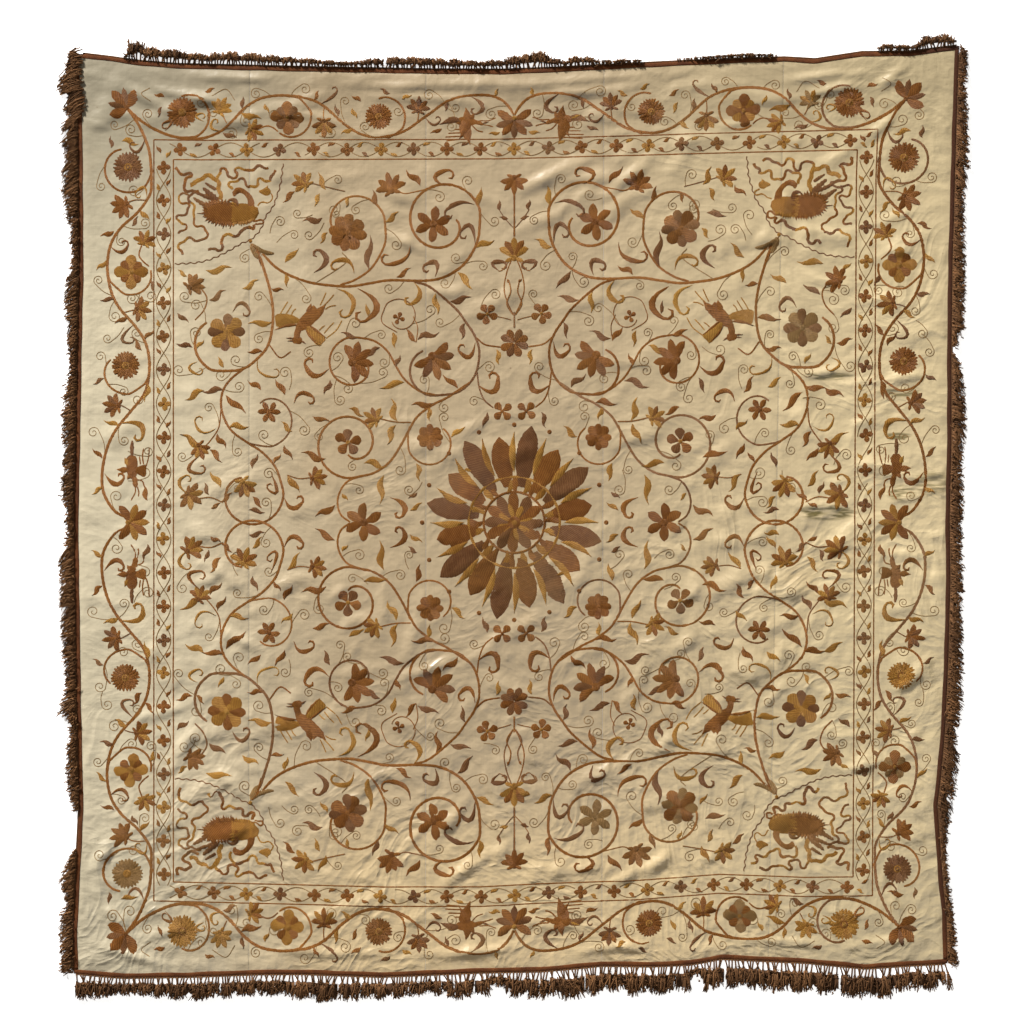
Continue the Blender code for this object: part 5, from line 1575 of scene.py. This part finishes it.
def round_flower(work, middle, kind, radius, facing, named):
    """A flower from its rows in the table, in the threads that its named parts are worked in."""
    for part in ROUND_FLOWERS[kind]:
        if len(part) == 4:
            thread, size, rise, tint = part
            work.disc(named[thread], middle, size * radius, rise, tint)
        else:
            inner, outer, count, turn, threads, form, width, tint = part
            ring_of_petals(work, middle, inner * radius, outer * radius, count, facing + turn,
                           [named[thread] for thread in threads.split()], form, width * radius, tint)


def flower(work, x, y, kind, radius, facing, threads):
    """A flower in two threads, the first of them its main one. Facing is where its middle petal points."""
    middle = (x, y)
    main, second = threads.split()[0], threads.split()[-1]
    named = {"main": main, "second": second, "ochre": "ochre"}
    if kind in ROUND_FLOWERS:
        round_flower(work, middle, kind, radius, facing, named)
    elif kind == "spray":
        for turns, thread, reach, width in SPRAY:
            for way in turns:
                half = off(middle, 0.5 * reach * radius, facing + way * 0.94)
                spine = (middle, half, off(middle, reach * radius, facing + way))
                work.shape(named[thread], "pointed", spine, width * radius, 1.0, 0.25)
        work.disc("ochre", off(middle, 0.1 * radius, facing + 180), 0.16 * radius, 1.3, 0.3)
    elif kind == "lily":
        base = off(middle, -0.75 * radius, facing)
        for turns, thread, reach, width, bow in LILY:
            for way in turns:
                half = off(base, 0.55 * reach * radius, facing + way + math.copysign(bow, way))
                spine = (off(base, 0.05, facing + way), half, off(base, reach * radius, facing + way))
                work.shape(named[thread], "pointed", spine, width * radius, 1.0, 0.25)
        work.disc(main, base, 0.20 * radius, 1.1, 0.2)
    elif kind == "half":
        base = off(middle, -0.25 * radius, facing)
        fan_of_petals(work, base, 1.08 * radius, 6, facing, 98, [main, second, main], 0.25 * radius)
        work.disc(main, base, 0.24 * radius, 1.2, 0.3)
    elif kind == "lotus":
        base = off(middle, -0.55 * radius, facing)
        for way in (-112, 112):
            work.shape(main, "pointed", (base, off(base, 0.7 * radius, facing + way)), 0.16 * radius)
        spread = rng.uniform(58, 84)
        fan_of_petals(work, base, 1.22 * radius, 5, facing, spread, [main, second], 0.28 * radius, 0.22)
        work.disc(main, base, 0.26 * radius, 1.1, 0.2)


def leaf(work, x0, y0, x1, y1, thread):
    """A pointed leaf with a double bend."""
    base, tip = np.array([x0, y0]), np.array([x1, y1])
    line = tip - base
    length = math.hypot(*line)
    beside = np.array([-line[1], line[0]]) / max(length, 1e-6)
    sway = length * rng.uniform(0.05, 0.13) * rng.choice((-1, 1))
    spine = (base, base + line * 0.33 + beside * sway, base + line * 0.70 - beside * sway * 0.6, tip)
    width = 0.10 + 0.12 * length * rng.uniform(0.85, 1.15)
    other = {"ochre": "rust", "rust": "plum", "plum": "ochre"}[thread]
    thread = other if rng.uniform() < 0.12 else thread
    work.shape(thread, "leaf", spine, min(width, 0.38))


def tendril(work, x, y, size, stems):
    """A thin curl on a bowed tail that springs from a stem near by."""
    turn = rng.choice((-1, 1)) * rng.uniform(520, 640)
    radius = size * rng.uniform(0.90, 1.20)
    nearest = int(np.argmin(np.hypot(*(stems - (x, y)).T)))
    root = stems[np.clip(nearest + rng.choice((-1, 1)) * rng.integers(5, 12), 0, len(stems) - 1)]
    away = max(math.hypot(root[0] - x, root[1] - y), radius * 1.05)
    start = math.degrees(math.atan2(root[1] - y, root[0] - x))
    start += math.copysign(math.degrees(math.acos(radius / away)), turn)
    curl = scroll(off((x, y), radius, start), (x, y), 0.05, turn, 1.25)
    tail = root - curl[0]
    length = math.hypot(*tail)
    if length > LONGEST_TAIL:
        tail = tail * rng.uniform(0.4, 0.7) * LONGEST_TAIL / length
    bow = (curl[0] - np.array([x, y])) * 0.14 * math.hypot(*tail)
    route = smooth_route([curl[0] + tail, curl[0] + tail / 2 + bow] + list(curl[::3]), 0.09)
    work.line("faint", even_steps(route, 0.13), 0.036, 0.60, 0.45, taper=0.2)


STEM_WIDTH = 0.86


def stem(work, half_width, places, ending, thread):
    """A couched stem, with the scroll that ends it if it has one."""
    route = smooth_route(places, 0.16)
    if ending:
        middle, end_radius, turn = ending
        coil = scroll(route[-1], middle, end_radius, turn)
        joined = np.concatenate([route[:-3], coil[2:]])
        route = even_steps(smooth_route(joined[::2], 0.08), 0.16)
    work.line(thread, route, half_width, 1.0, 0.57)
    return route


def part_of_design(work, stems=(), flowers=(), leaves=(), hooks=(), tendrils=()):
    """One part of the quarter, from its rows."""
    routes = []
    for half_width, places, ending in stems:
        thread = "rust" if rng.uniform() < 0.8 else "plum"
        routes.append(stem(work, half_width * STEM_WIDTH, places, ending, thread))
    for row in leaves:
        leaf(work, *row)
    for start, bend, end, thread, width in hooks:
        if width < 0.15:
            work.line(thread, smooth_route((start, bend, end), 0.15), width * 0.6, 0.7)
        else:
            curled_leaf(work, start, bend, end, thread, width)
    for x, y, kind, radius, facing, threads in flowers:
        threads = CHANGED_FLOWERS.get((work.mirror[0], work.mirror[1], x, y), threads)
        flower(work, x, y, kind, radius, facing, threads)
    for x, y in tendrils:
        tendril(work, x, y, 0.50, np.concatenate(routes))


def curled_leaf(work, start, bend, end, thread, width):
    """A leaf that swells through its bend and rolls in at its tip."""
    start, bend, end = (np.array(place, float) for place in (start, bend, end))
    pull = bend + (bend - (start + end) / 2) * 0.75
    t = np.linspace(0, 1, 16)[:, None]
    arc = start * (1 - t) ** 2 + pull * 2 * t * (1 - t) + end * t**2
    heading = arc[-1] - arc[-2]
    heading = heading / np.linalg.norm(heading)
    before = arc[-3] - arc[-4]
    side = np.sign(before[0] * heading[1] - before[1] * heading[0]) or 1.0
    inward = np.array([-heading[1], heading[0]]) * side
    size = 0.30 * np.linalg.norm(end - bend) + 0.10
    turns = np.linspace(0, math.radians(215), 14)[1:, None]
    radius = size * (1 - 0.55 * turns / turns[-1])
    curl = end + inward * size + radius * (heading * np.sin(turns) - inward * np.cos(turns))
    work.shape(thread, "hook", np.concatenate([arc[::3], curl[::2]]), width * 0.78)


def guard_band(work):
    """Two ruled cords with a vine of small four-petalled flowers between them, on all four sides."""
    for half_p, half_q in (INNER_GUARD, OUTER_GUARD):
        for sign in (-1, 1):
            across = smooth_route(((-half_p, sign * half_q), (half_p, sign * half_q)), 0.22)
            along = smooth_route(((sign * half_p, -half_q), (sign * half_p, half_q)), 0.22)
            for route in (across, along):
                work.line("rust", route, 0.085, 0.9, 0.35, taper=0)
    middle_p = (INNER_GUARD[0] + OUTER_GUARD[0]) / 2
    middle_q = (INNER_GUARD[1] + OUTER_GUARD[1]) / 2
    for sign in (-1, 1):
        guard_row(work, GUARD_UNITS_ACROSS, middle_p, lambda s, t, sign=sign: (s, sign * middle_q + t))
        guard_row(work, GUARD_UNITS_ALONG, middle_q, lambda s, t, sign=sign: (sign * middle_p + t, s))


VINE_END = 0.6
VINE_STEP = 0.25
VINE_SWING = 0.72


def guard_row(work, units, half, put):
    """A row of small flowers, each in an eye of a waving vine.

    put makes a place on the pattern from how far along the row and how far across it something is.
    """
    pitch = 2 * half / units
    count = int((2 * half - 2 * VINE_END) / VINE_STEP)
    wave = [-half + VINE_END + n * VINE_STEP for n in range(count)]
    for phase in (0.0, math.pi):
        route = np.array([put(s, VINE_SWING * math.sin(math.pi * s / pitch + phase)) for s in wave])
        for first in range(0, len(route) - 8, 18):
            if rng.uniform() < 0.93:
                work.line("faint", even_steps(route[first:first + 19], 0.2), 0.045, 0.5, 0.4, taper=0)
    for n in range(units):
        s = -half + (n + 0.5) * pitch + rng.normal(0, 0.05)
        thread = ("rust", "rust", "ochre", "plum")[n % 4]
        middle = put(s, rng.normal(0, 0.04))
        ring_of_petals(work, middle, 0.02, 0.68, 4, rng.normal(0, 8), [thread], "small", 0.30)
        work.disc("rust", put(s, 0), 0.12, 1.3)
        for side, shift, kind in ((1, 0.95, "ochre"), (-1, 1.45, "rust")):
            flip = side if n % 2 else -side
            base, tip = put(s + shift, 0.30 * flip), put(s + shift + 0.75, 0.72 * flip)
            if rng.uniform() < 0.9:
                leaf(work, *base, *tip, kind)


# The corner beast's ribbons: half width, threads by turns, and the places that each one passes
RIBBONS = (
    (0.15, "rust plum rust", ((33.7, 35.6), (33.5, 35.0), (32.7, 34.9), (32.3, 34.7), (32.9, 34.2),
        (33.0, 33.7), (32.5, 33.2), (31.5, 33.3))),
    (0.21, "ochre", ((32.4, 33.8), (31.7, 34.0), (30.9, 34.6), (30.1, 34.6), (29.6, 34.0), (29.4, 33.1),
        (29.4, 32.3))),
    (0.14, "ochre rust plum rust", ((29.6, 33.9), (29.6, 34.8), (29.2, 35.3), (28.7, 35.1), (28.5, 34.6),
        (28.1, 34.4), (27.7, 34.8), (27.8, 35.4), (27.3, 35.5), (26.6, 35.1), (26.1, 35.3), (25.5, 35.6),
        (24.6, 35.5))),
    (0.14, "ochre ochre plum rust ochre", ((28.2, 33.2), (28.5, 33.7), (28.2, 34.1), (27.3, 34.3),
        (26.8, 34.0), (26.5, 33.6), (25.8, 33.7), (25.5, 34.3), (24.8, 34.3), (24.3, 34.2), (24.3, 34.7),
        (23.8, 35.1))),
    (0.13, "rust plum ochre rust", ((30.2, 32.5), (31.1, 32.8), (32.1, 32.9), (32.5, 32.5), (32.0, 31.6),
        (31.9, 31.0), (32.1, 30.3), (31.7, 29.7), (30.9, 29.4), (30.7, 28.9), (31.0, 28.2), (31.7, 28.3),
        (32.5, 28.4), (33.2, 28.0), (33.5, 27.4), (33.1, 26.8))),
    (0.12, "plum ochre rust plum", ((32.4, 32.9), (33.4, 32.8), (33.6, 32.4), (33.2, 32.0), (32.5, 31.7),
        (32.6, 31.1), (33.1, 30.8), (33.7, 30.5), (33.6, 30.1), (32.9, 29.9), (32.9, 29.3),
        (33.6, 28.9))),
    (0.15, "rust plum plum ochre", ((26.1, 29.9), (26.1, 29.3), (27.0, 29.5), (27.4, 28.8), (28.3, 28.7),
        (29.1, 28.7), (29.2, 28.1), (29.1, 27.6), (29.6, 27.2), (30.2, 27.5), (30.6, 27.3))),
    (0.1, "rust", ((26.8, 29.9), (26.0, 30.2), (25.4, 30.3), (25.2, 30.0), (25.5, 29.8), (25.9, 30.0))),
    (0.07, "ochre", ((24.4, 32.8), (24.0, 32.4), (24.3, 32.1), (25.0, 32.1), (25.6, 31.7))),
)
# How far a ribbon wavers to each side, and from one waver to the next
KINK = 0.11
KINK_PITCH = 1.3
# Its feathered legs: half width, base and tip
LEGS = (
    (0.36, (29.6, 32.2), (31.1, 33.5)), (0.22, (29.8, 33.3), (30.9, 34.0)),
    (0.3, (30.5, 31.5), (32.1, 32.5)), (0.26, (30.0, 32.3), (31.8, 33.0)),
    (0.09, (30.6, 30.9), (31.7, 30.95)),
)
CORNER_LINE = (
    (23.1, 35.9), (23.3, 34.1), (23.7, 32.7), (24.1, 31.6), (24.9, 30.5), (25.3, 29.4), (26.2, 28.4),
    (27.3, 27.9), (28.5, 27.2), (30.2, 26.4), (31.8, 26.0), (33.9, 25.85),
)


def tufts(work, thread, edge, step, depth, lean):
    """Short pointed stitches that stand out from an edge, as a shaggy coat does."""
    route = even_steps(smooth_route(edge, 0.1), step)
    for place, outward in zip(route, beside_route(route)):
        out = depth * rng.uniform(0.55, 1.15)
        side = lean * out + rng.normal(0, 0.04)
        ahead = np.array([-outward[1], outward[0]])
        spine = (place - outward * 0.35, place + outward * out + ahead * side)
        work.shape(thread, "leaf", spine, 0.16, 1.2, 0.25)


# The beast's body, coat and head. A shape has thread, form, places, half width, rise and tint. A run of
# tufts has thread, edge, step, depth and lean.
BEAST_BODY = (
    ("rust", "body", ((31.0, 31.1), (29.6, 31.0), (27.9, 30.95)), 1.15, 1.2, 0.30),
    ("ochre", "body", ((25.55, 31.2), (26.8, 30.9), (28.4, 30.95)), 1.10, 1.25, 0.05),
)
BEAST_TUFTS = (
    ("rust", ((28.0, 29.85), (29.4, 29.9), (30.4, 30.3), (30.95, 31.0), (30.7, 31.8), (30.0, 32.1)),
        0.24, 0.42, 0.3),
    ("ochre", ((26.0, 30.2), (27.0, 29.9), (28.0, 29.85)), 0.26, 0.20, 0.2),
    ("rust", ((30.2, 32.1), (29.2, 32.2), (28.6, 32.0)), 0.30, 0.25, 0.2),
    ("rust", ((27.9, 30.1), (27.8, 31.0), (27.9, 31.9)), 0.20, 0.45, 0.1),
    ("ochre", ((28.0, 31.9), (28.2, 31.0), (28.0, 30.1)), 0.30, 0.35, -0.2),
)
BEAST_HEAD = (
    ("rust", "neck", ((26.3, 31.6), (26.35, 32.3), (26.8, 32.95), (27.4, 33.25), (27.9, 33.05),
        (27.95, 32.65)), 0.44, 1.3, 0.35),
    ("plum", "hook", ((27.5, 31.6), (27.8, 32.15), (28.35, 32.3), (28.65, 32.05), (28.55, 31.8)),
        0.24, 1.1),
    ("ochre", "round", ((25.5, 33.1), (24.3, 33.08)), 0.45, 1.0),
    ("ochre", "leaf", ((24.9, 33.2), (24.6, 33.7)), 0.16, 1.0),
)
# The large bud that the two long stems grow from, at the inner corner
BUD = (
    ("faint", "plume", ((26.2, 27.9), (26.0, 27.2), (25.5, 26.4)), 0.36, 1.1, 0.35),
    ("faint", "plume", ((26.3, 27.8), (25.7, 27.4), (24.8, 27.0), (24.0, 26.9)), 0.26, 1.1, 0.35),
    ("rust", "leaf", ((26.1, 27.5), (25.5, 26.6), (25.3, 25.6)), 0.22),
    ("rust", "leaf", ((26.4, 28.0), (25.6, 27.2), (25.2, 26.7)), 0.14),
)
RIBBON_STEP = 0.12
CORNER_STEP = 0.16


def beast(work):
    """The shaggy long-necked beast of a corner, with waving ribbons, behind a thin wavy line, and a bud."""
    for half_width, threads, route in RIBBONS:
        turned = [(p + rng.normal(0, 0.05), q + rng.normal(0, 0.05)) for p, q in route]
        fine = smooth_route(turned, RIBBON_STEP)
        ahead = np.gradient(fine, axis=0) / RIBBON_STEP
        turns = np.arange(len(fine)) * RIBBON_STEP * 2 * math.pi / KINK_PITCH + rng.uniform(0, 6)
        fine = fine + np.stack([ahead[:, 1], -ahead[:, 0]], axis=1) * (KINK * np.sin(turns))[:, None]
        threads = threads.split()
        each = len(fine) // (2 * len(threads)) + 1
        for n, first in enumerate(range(0, len(fine) - 3, each)):
            run = fine[first:first + each + 2]
            work.line(threads[n % len(threads)], run, half_width * rng.uniform(1.1, 1.4), 0.9, taper=0.05)
    for half_width, base, tip in LEGS:
        work.shape("plum", "ragged", (base, tip), half_width, 1.0, 0.45)
    for row in BEAST_BODY:
        work.shape(*row)
    for row in BEAST_TUFTS:
        tufts(work, *row)
    for row in BEAST_HEAD:
        work.shape(*row)
    line = smooth_route(CORNER_LINE, CORNER_STEP)
    quiver = 0.07 * np.sin(np.arange(len(line)) * 1.25)
    ahead = np.gradient(line, axis=0)
    line = line + np.stack([ahead[:, 1], -ahead[:, 0]], axis=1) / CORNER_STEP * quiver[:, None]
    work.line("plum", line, 0.055, 0.6, 0.4, taper=0)
    for row in BUD:
        work.shape(*row)
    work.disc("ochre", (26.35, 28.15), 0.20, 1.1)


# The three birds, in squares from the middle. Each shape: thread, form, half width, places from base to tip.
FIELD_BIRD = (
    ("ochre", "wing", 0.78, ((21.4, 20.15), (22.5, 20.3), (23.85, 20.1))),
    ("rust", "leaf", 0.2, ((21.5, 19.75), (22.7, 19.7), (24.0, 19.25))),
    ("ochre", "wing", 0.66, ((20.8, 19.7), (20.2, 19.0), (19.1, 17.95))),
    ("rust", "leaf", 0.16, ((20.9, 19.4), (20.3, 18.5), (19.4, 17.6))),
    ("rust", "leaf", 0.16, ((20.6, 19.9), (19.8, 19.2), (18.7, 18.4))),
    ("rust", "body", 0.72, ((21.75, 19.2), (20.9, 20.0), (19.6, 21.3))),
    ("rust", "leaf", 0.42, ((20.5, 20.6), (20.3, 21.9))),
    ("rust", "leaf", 0.42, ((19.9, 20.6), (18.8, 21.8))),
    ("rust", "plume", 0.36, ((21.4, 19.7), (21.7, 18.8), (21.65, 18.0))),
    ("rust", "plume", 0.42, ((21.2, 18.2), (21.7, 18.2), (22.2, 18.35))),
    ("plum", "leaf", 0.11, ((22.0, 18.4), (22.8, 18.45))),
    ("plum", "leaf", 0.09, ((22.0, 18.2), (22.7, 18.15))),
    ("plum", "leaf", 0.1, ((21.3, 18.2), (20.8, 17.85))),
)
FIELD_BIRD_RAYS = (
    ((23.4, 20.8), (23.0, 21.5), (22.6, 22.1)), ((22.9, 20.7), (22.5, 21.3), (22.2, 21.8)),
    ((22.3, 20.6), (22.1, 21.1), (21.8, 21.4)), ((19.4, 21.7), (19.1, 22.3), (18.8, 23.0)),
    ((19.1, 21.6), (18.5, 22.2), (18.0, 22.8)), ((18.9, 21.3), (18.4, 21.6), (17.8, 21.7)),
    ((19.5, 19.2), (19.2, 19.5), (18.9, 19.7)), ((19.0, 18.9), (18.5, 19.5), (18.0, 20.0)),
    ((18.8, 18.4), (17.8, 19.2), (17.2, 20.2)),
)
HEAD_BIRD = (
    ("rust", "leaf", 0.44, ((4.75, 39.9), (4.7, 40.8), (4.85, 41.6))),
    ("rust", "leaf", 0.28, ((4.4, 40.3), (3.95, 41.0))),
    ("rust", "leaf", 0.66, ((5.2, 40.5), (4.9, 39.3), (4.4, 37.7))),
    ("rust", "leaf", 0.5, ((4.5, 40.3), (4.9, 39.2), (5.5, 38.3))),
    ("plum", "leaf", 0.4, ((5.2, 40.1), (6.2, 40.3), (7.5, 39.8))),
    ("rust", "plume", 0.52, ((3.9, 40.0), (4.8, 40.2), (5.8, 40.1))),
    ("rust", "plume", 0.26, ((4.2, 40.2), (3.7, 40.0), (3.1, 39.8))),
    ("plum", "leaf", 0.12, ((3.2, 39.9), (2.5, 40.1))),
    ("ochre", "leaf", 0.2, ((5.6, 40.2), (6.6, 40.6))),
)
HEAD_BIRD_RAYS = (
    ((5.0, 39.3), (6.0, 39.3)), ((5.0, 38.95), (6.6, 38.9)), ((5.0, 38.6), (6.9, 38.5)),
    ((4.8, 38.3), (6.8, 38.1)), ((3.5, 40.2), (2.6, 40.2), (1.8, 40.5)),
    ((3.2, 39.8), (2.6, 39.7), (2.1, 39.55)), ((4.2, 39.7), (3.7, 39.2), (3.1, 39.0)),
)
SIDE_BIRD = (
    ("plum", "plume", 0.2, ((38.1, 6.6), (38.15, 7.3), (38.1, 8.2))),
    ("plum", "round", 0.24, ((38.1, 7.1), (38.15, 7.7))),
    ("rust", "plume", 0.62, ((38.1, 6.7), (38.15, 5.6), (38.05, 4.4))),
    ("rust", "leaf", 0.36, ((38.4, 5.2), (39.6, 5.3))),
    ("ochre", "leaf", 0.3, ((38.4, 5.7), (38.85, 6.5))),
    ("rust", "leaf", 0.24, ((38.2, 4.8), (38.6, 4.3))),
    ("rust", "wing", 0.7, ((37.9, 5.2), (37.4, 5.2), (36.75, 5.15))),
    ("rust", "plume", 0.3, ((37.9, 4.6), (37.8, 4.0), (37.75, 3.5))),
)
SIDE_BIRD_RAYS = (
    ((37.3, 5.8), (37.4, 6.6)), ((37.0, 5.8), (37.1, 6.6), (37.0, 7.4)),
    ((36.75, 5.6), (36.5, 6.6), (36.45, 7.5)), ((37.8, 3.6), (37.8, 3.0), (38.2, 2.2)),
    ((37.6, 4.3), (37.1, 4.1), (36.9, 3.5)), ((37.6, 3.6), (37.45, 3.0), (37.5, 2.6)),
)


def bird(work, shapes, rays, ray_width, ray_thread):
    """A bird of satin-stitched shapes, with thin couched feathers."""
    for thread, form, half_width, spine in shapes:
        work.shape(thread, form, spine, half_width, 1.1, 0.35)
    for ray in rays:
        work.line(ray_thread, smooth_route(ray, 0.12), ray_width, 0.6, 0.4, taper=0.5)


MIDDLE = (0, 0)
MEDALLION_LEAVES = 16


def medallion(work):
    """The middle of the cover: leaves in rings round a rosette, of our own drawing."""
    for n in range(MEDALLION_LEAVES):
        angle = 360 * n / MEDALLION_LEAVES + 180 / MEDALLION_LEAVES
        reach = 8.9 if n % 2 else 7.9
        thread = "plum" if n % 2 else "rust"
        tip, mid = off(MIDDLE, reach, angle), off(MIDDLE, 6.0, angle)
        spine = (off(MIDDLE, 3.6, angle), (mid[0], mid[1] * 1.08), (tip[0], tip[1] * 1.1))
        work.shape(thread, "great", spine, 1.15, 1.3, 0.18)
    for n in range(MEDALLION_LEAVES):
        angle = 360 * n / MEDALLION_LEAVES
        tip, dot = off(MIDDLE, 8.4, angle), off(MIDDLE, 9.2, angle)
        spine = (off(MIDDLE, 5.0, angle), off(MIDDLE, 6.6, angle + 2), (tip[0], tip[1] * 1.08))
        work.shape("ochre", "long", spine, 0.42, 1.6)
        work.disc("rust", (dot[0], dot[1] * 1.06), 0.24, 1.0)
    turns = np.linspace(0, 2 * math.pi, 150)
    circle = np.stack([np.cos(turns), np.sin(turns)], axis=1)
    for radius, half_width, thread in ((4.55, 0.16, "ochre"), (3.05, 0.14, "rust")):
        work.line(thread, radius * circle, half_width, 2.0, 0.5, taper=0)
    ring_of_petals(work, MIDDLE, 2.9, 4.5, 24, 0, ["rust", "ochre"], "round", 0.40)
    ring_of_petals(work, MIDDLE, 0.4, 2.95, 12, 0, ["plum", "rust"], "round", 0.62)
    ring_of_petals(work, MIDDLE, 0.3, 1.9, 8, 15, ["ochre"], "pointed", 0.42)
    work.disc("rust", MIDDLE, 0.7, 1.9)
    work.disc("ochre", MIDDLE, 0.36, 2.2)


# What the quarter is worked from: stems, flowers, leaves, hooks, tendrils
PARTS = (
    (FIELD_STEMS, FIELD_FLOWERS, FIELD_LEAVES, FIELD_HOOKS, FIELD_TENDRILS),
    (HEAD_STEMS, PAIRED_FLOWERS),
    (HEAD_BORDER_STEMS, HEAD_BORDER_FLOWERS, HEAD_BORDER_LEAVES, HEAD_BORDER_HOOKS, HEAD_BORDER_TENDRILS),
    (SIDE_BORDER_STEMS, SIDE_BORDER_FLOWERS, SIDE_BORDER_LEAVES, SIDE_BORDER_HOOKS, SIDE_BORDER_TENDRILS),
)
CORNER_FLOWER = (39.35, 41.9, "lily", 1.28, 45, "rust plum")
# The birds: shapes, feathers, half width and thread of the feathers
BIRDS = (
    (FIELD_BIRD, FIELD_BIRD_RAYS, 0.06, "ochre"), (HEAD_BIRD, HEAD_BIRD_RAYS, 0.10, "rust"),
    (SIDE_BIRD, SIDE_BIRD_RAYS, 0.10, "rust"),
)


def whole_design(forms):
    """The quarter worked four times, with what lies on the lines between the quarters."""
    work = Stitching(forms)
    for sx, sy in ((-1, 1), (1, 1), (-1, -1), (1, -1)):
        work.mirror = np.array([sx, sy], float)
        for part in PARTS:
            part_of_design(work, *part)
        flower(work, *CORNER_FLOWER)
        beast(work)
        for row in BIRDS:
            bird(work, *row)
    for sign in (1, -1):
        work.mirror = np.array([sign, sign], float)
        for row in MIDLINE_FLOWERS:
            flower(work, *row)
    work.mirror = np.array([1.0, 1.0])
    guard_band(work)
    medallion(work)
    return work


# How far the pattern has been pulled out of true at the outer guard. Each row: place, shift.
GUARD_HEAD = (
    (-1.02, 0.0), (-0.88, -0.002), (-0.04, 0.001), (0.07, 0.004), (0.3, 0.01), (0.64, 0.02),
    (1.02, 0.029),
)
GUARD_FOOT = (
    (-1.015, 0.013), (-0.6, 0.003), (-0.37, -0.003), (-0.09, -0.003), (0.07, 0.006), (0.35, 0.016),
    (0.58, 0.034), (0.69, 0.03), (0.82, 0.025), (1.0, 0.027),
)
GUARD_RIGHT = ((-1.04, -0.006), (0.0, -0.001), (0.93, 0.004), (1.09, 0.010))


def pulled(plan):
    """Places on the cloth, in metres, of places on the true pattern."""
    p, q = plan[..., 0], plan[..., 1]
    x = PATTERN_MIDDLE[0] + p * SQUARE
    y = PATTERN_MIDDLE[1] + q * SQUARE
    half_x, half_y = CLOTH_X / 2, CLOTH_Y / 2
    guard_x = np.where(p > 0, on_grid(GUARD_RIGHT, y), 0.0)
    guard_y = np.where(q > 0, on_grid(GUARD_HEAD, x), on_grid(GUARD_FOOT, x))
    edge_x = np.where(p > 0, right_x(y) - half_x, left_x(y) + half_x)
    edge_y = np.where(q > 0, head_y(x) - half_y, foot_y(x) + half_y)
    x = x + shift(np.abs(p), OUTER_GUARD[0], half_x / SQUARE, guard_x, edge_x)
    y = y + shift(np.abs(q), OUTER_GUARD[1], half_y / SQUARE, guard_y, edge_y)
    return x, y


def shift(place, guard, edge, at_guard, at_edge):
    """How far a place moves: evenly more up to the guard, and from there towards what the edge does."""
    inside = at_guard * np.minimum(place / guard, 1)
    share = np.clip((place - guard) / (edge - guard), 0, 1)
    return inside + (at_edge - at_guard) * share * 0.8


def embroidery(work, widths):
    """The patches of each thread, laid on the silk as one piece."""
    made = []
    for thread, patches in work.patches.items():
        plans, rises, uvs, tints, quads = [], [], [], [], []
        start = 0
        for plan, rise, uv, tint, lift in patches:
            rows, columns = rise.shape
            quads.append(grid_faces(rows, columns, start))
            plans.append(plan.reshape(-1, 2))
            rises.append((rise * THREAD_RISE + (rise > 0) * lift * PATCH_LIFT).ravel())
            uvs.append(uv.reshape(-1, 2))
            tints.append(np.full(rows * columns, tint))
            start += rows * columns
        x, y = pulled(np.concatenate(plans))
        top = np.zeros_like(x)
        for width in widths:
            inside = width.holds(x, y)
            top[inside] = width.top(x[inside], y[inside])
        z = top - THREAD_SINK + np.concatenate(rises)
        material = thread_material(f"{thread}_thread", *THREADS[thread])
        piece = mesh_piece(
            f"embroidery_{thread}", np.stack([x, y, z], axis=1), np.concatenate(quads), material,
            uv=np.concatenate(uvs), tint=np.concatenate(tints),
        )
        made.append(piece)
    return made


def petal_forms():
    """The shapes that the stitches are laid in, by name."""
    outlines = {
        "round": ROUND_PETAL, "small": SMALL_PETAL, "pointed": POINTED_PETAL, "leaf": LEAF, "hook": HOOK,
        "plume": PLUME, "wing": WING, "body": BODY, "ragged": RAGGED, "neck": NECK,
    }
    forms = {name: blank(outline) for name, outline in outlines.items()}
    forms["body"] = finer(forms["body"])
    forms["great"] = finer(forms["pointed"])
    forms["long"] = finer(forms["leaf"], 21, 5)
    return forms


def build():
    """The silk over its folds, then the embroidery on it, the braids and the fringes."""
    relief = Relief()
    for x, y, turn, half_length, half_width, rise in FOLD_ROWS:
        relief.fold(x, y, turn, half_length, half_width, rise * FOLD_LIFT)
    puckers(relief)
    relief.z = np.maximum(relief.z, 0.0)
    widths = [Width(number) for number in range(len(SEAM_ROWS) + 1)]
    silk = silk_material()
    for width in widths:
        width.lie_on(relief)
    sheets = [width.piece(silk) for width in widths]
    stitched = embroidery(whole_design(petal_forms()), widths)
    trim = braids(braid_material())
    yarn = fringe_material()
    hanging = {side.name: fringe(side, yarn) for side in SIDES}
    for number, sheet in enumerate(sheets):
        edges = [trim[0], trim[1], hanging["head"], hanging["foot"]]
        if number == 0:
            edges += [trim[2], hanging["left"]]
        if number == len(sheets) - 1:
            edges += [trim[3], hanging["right"]]
        others = [other for other in sheets if other is not sheet]
        touching = stitched + edges + others


floor_and_light()
camera()
build()
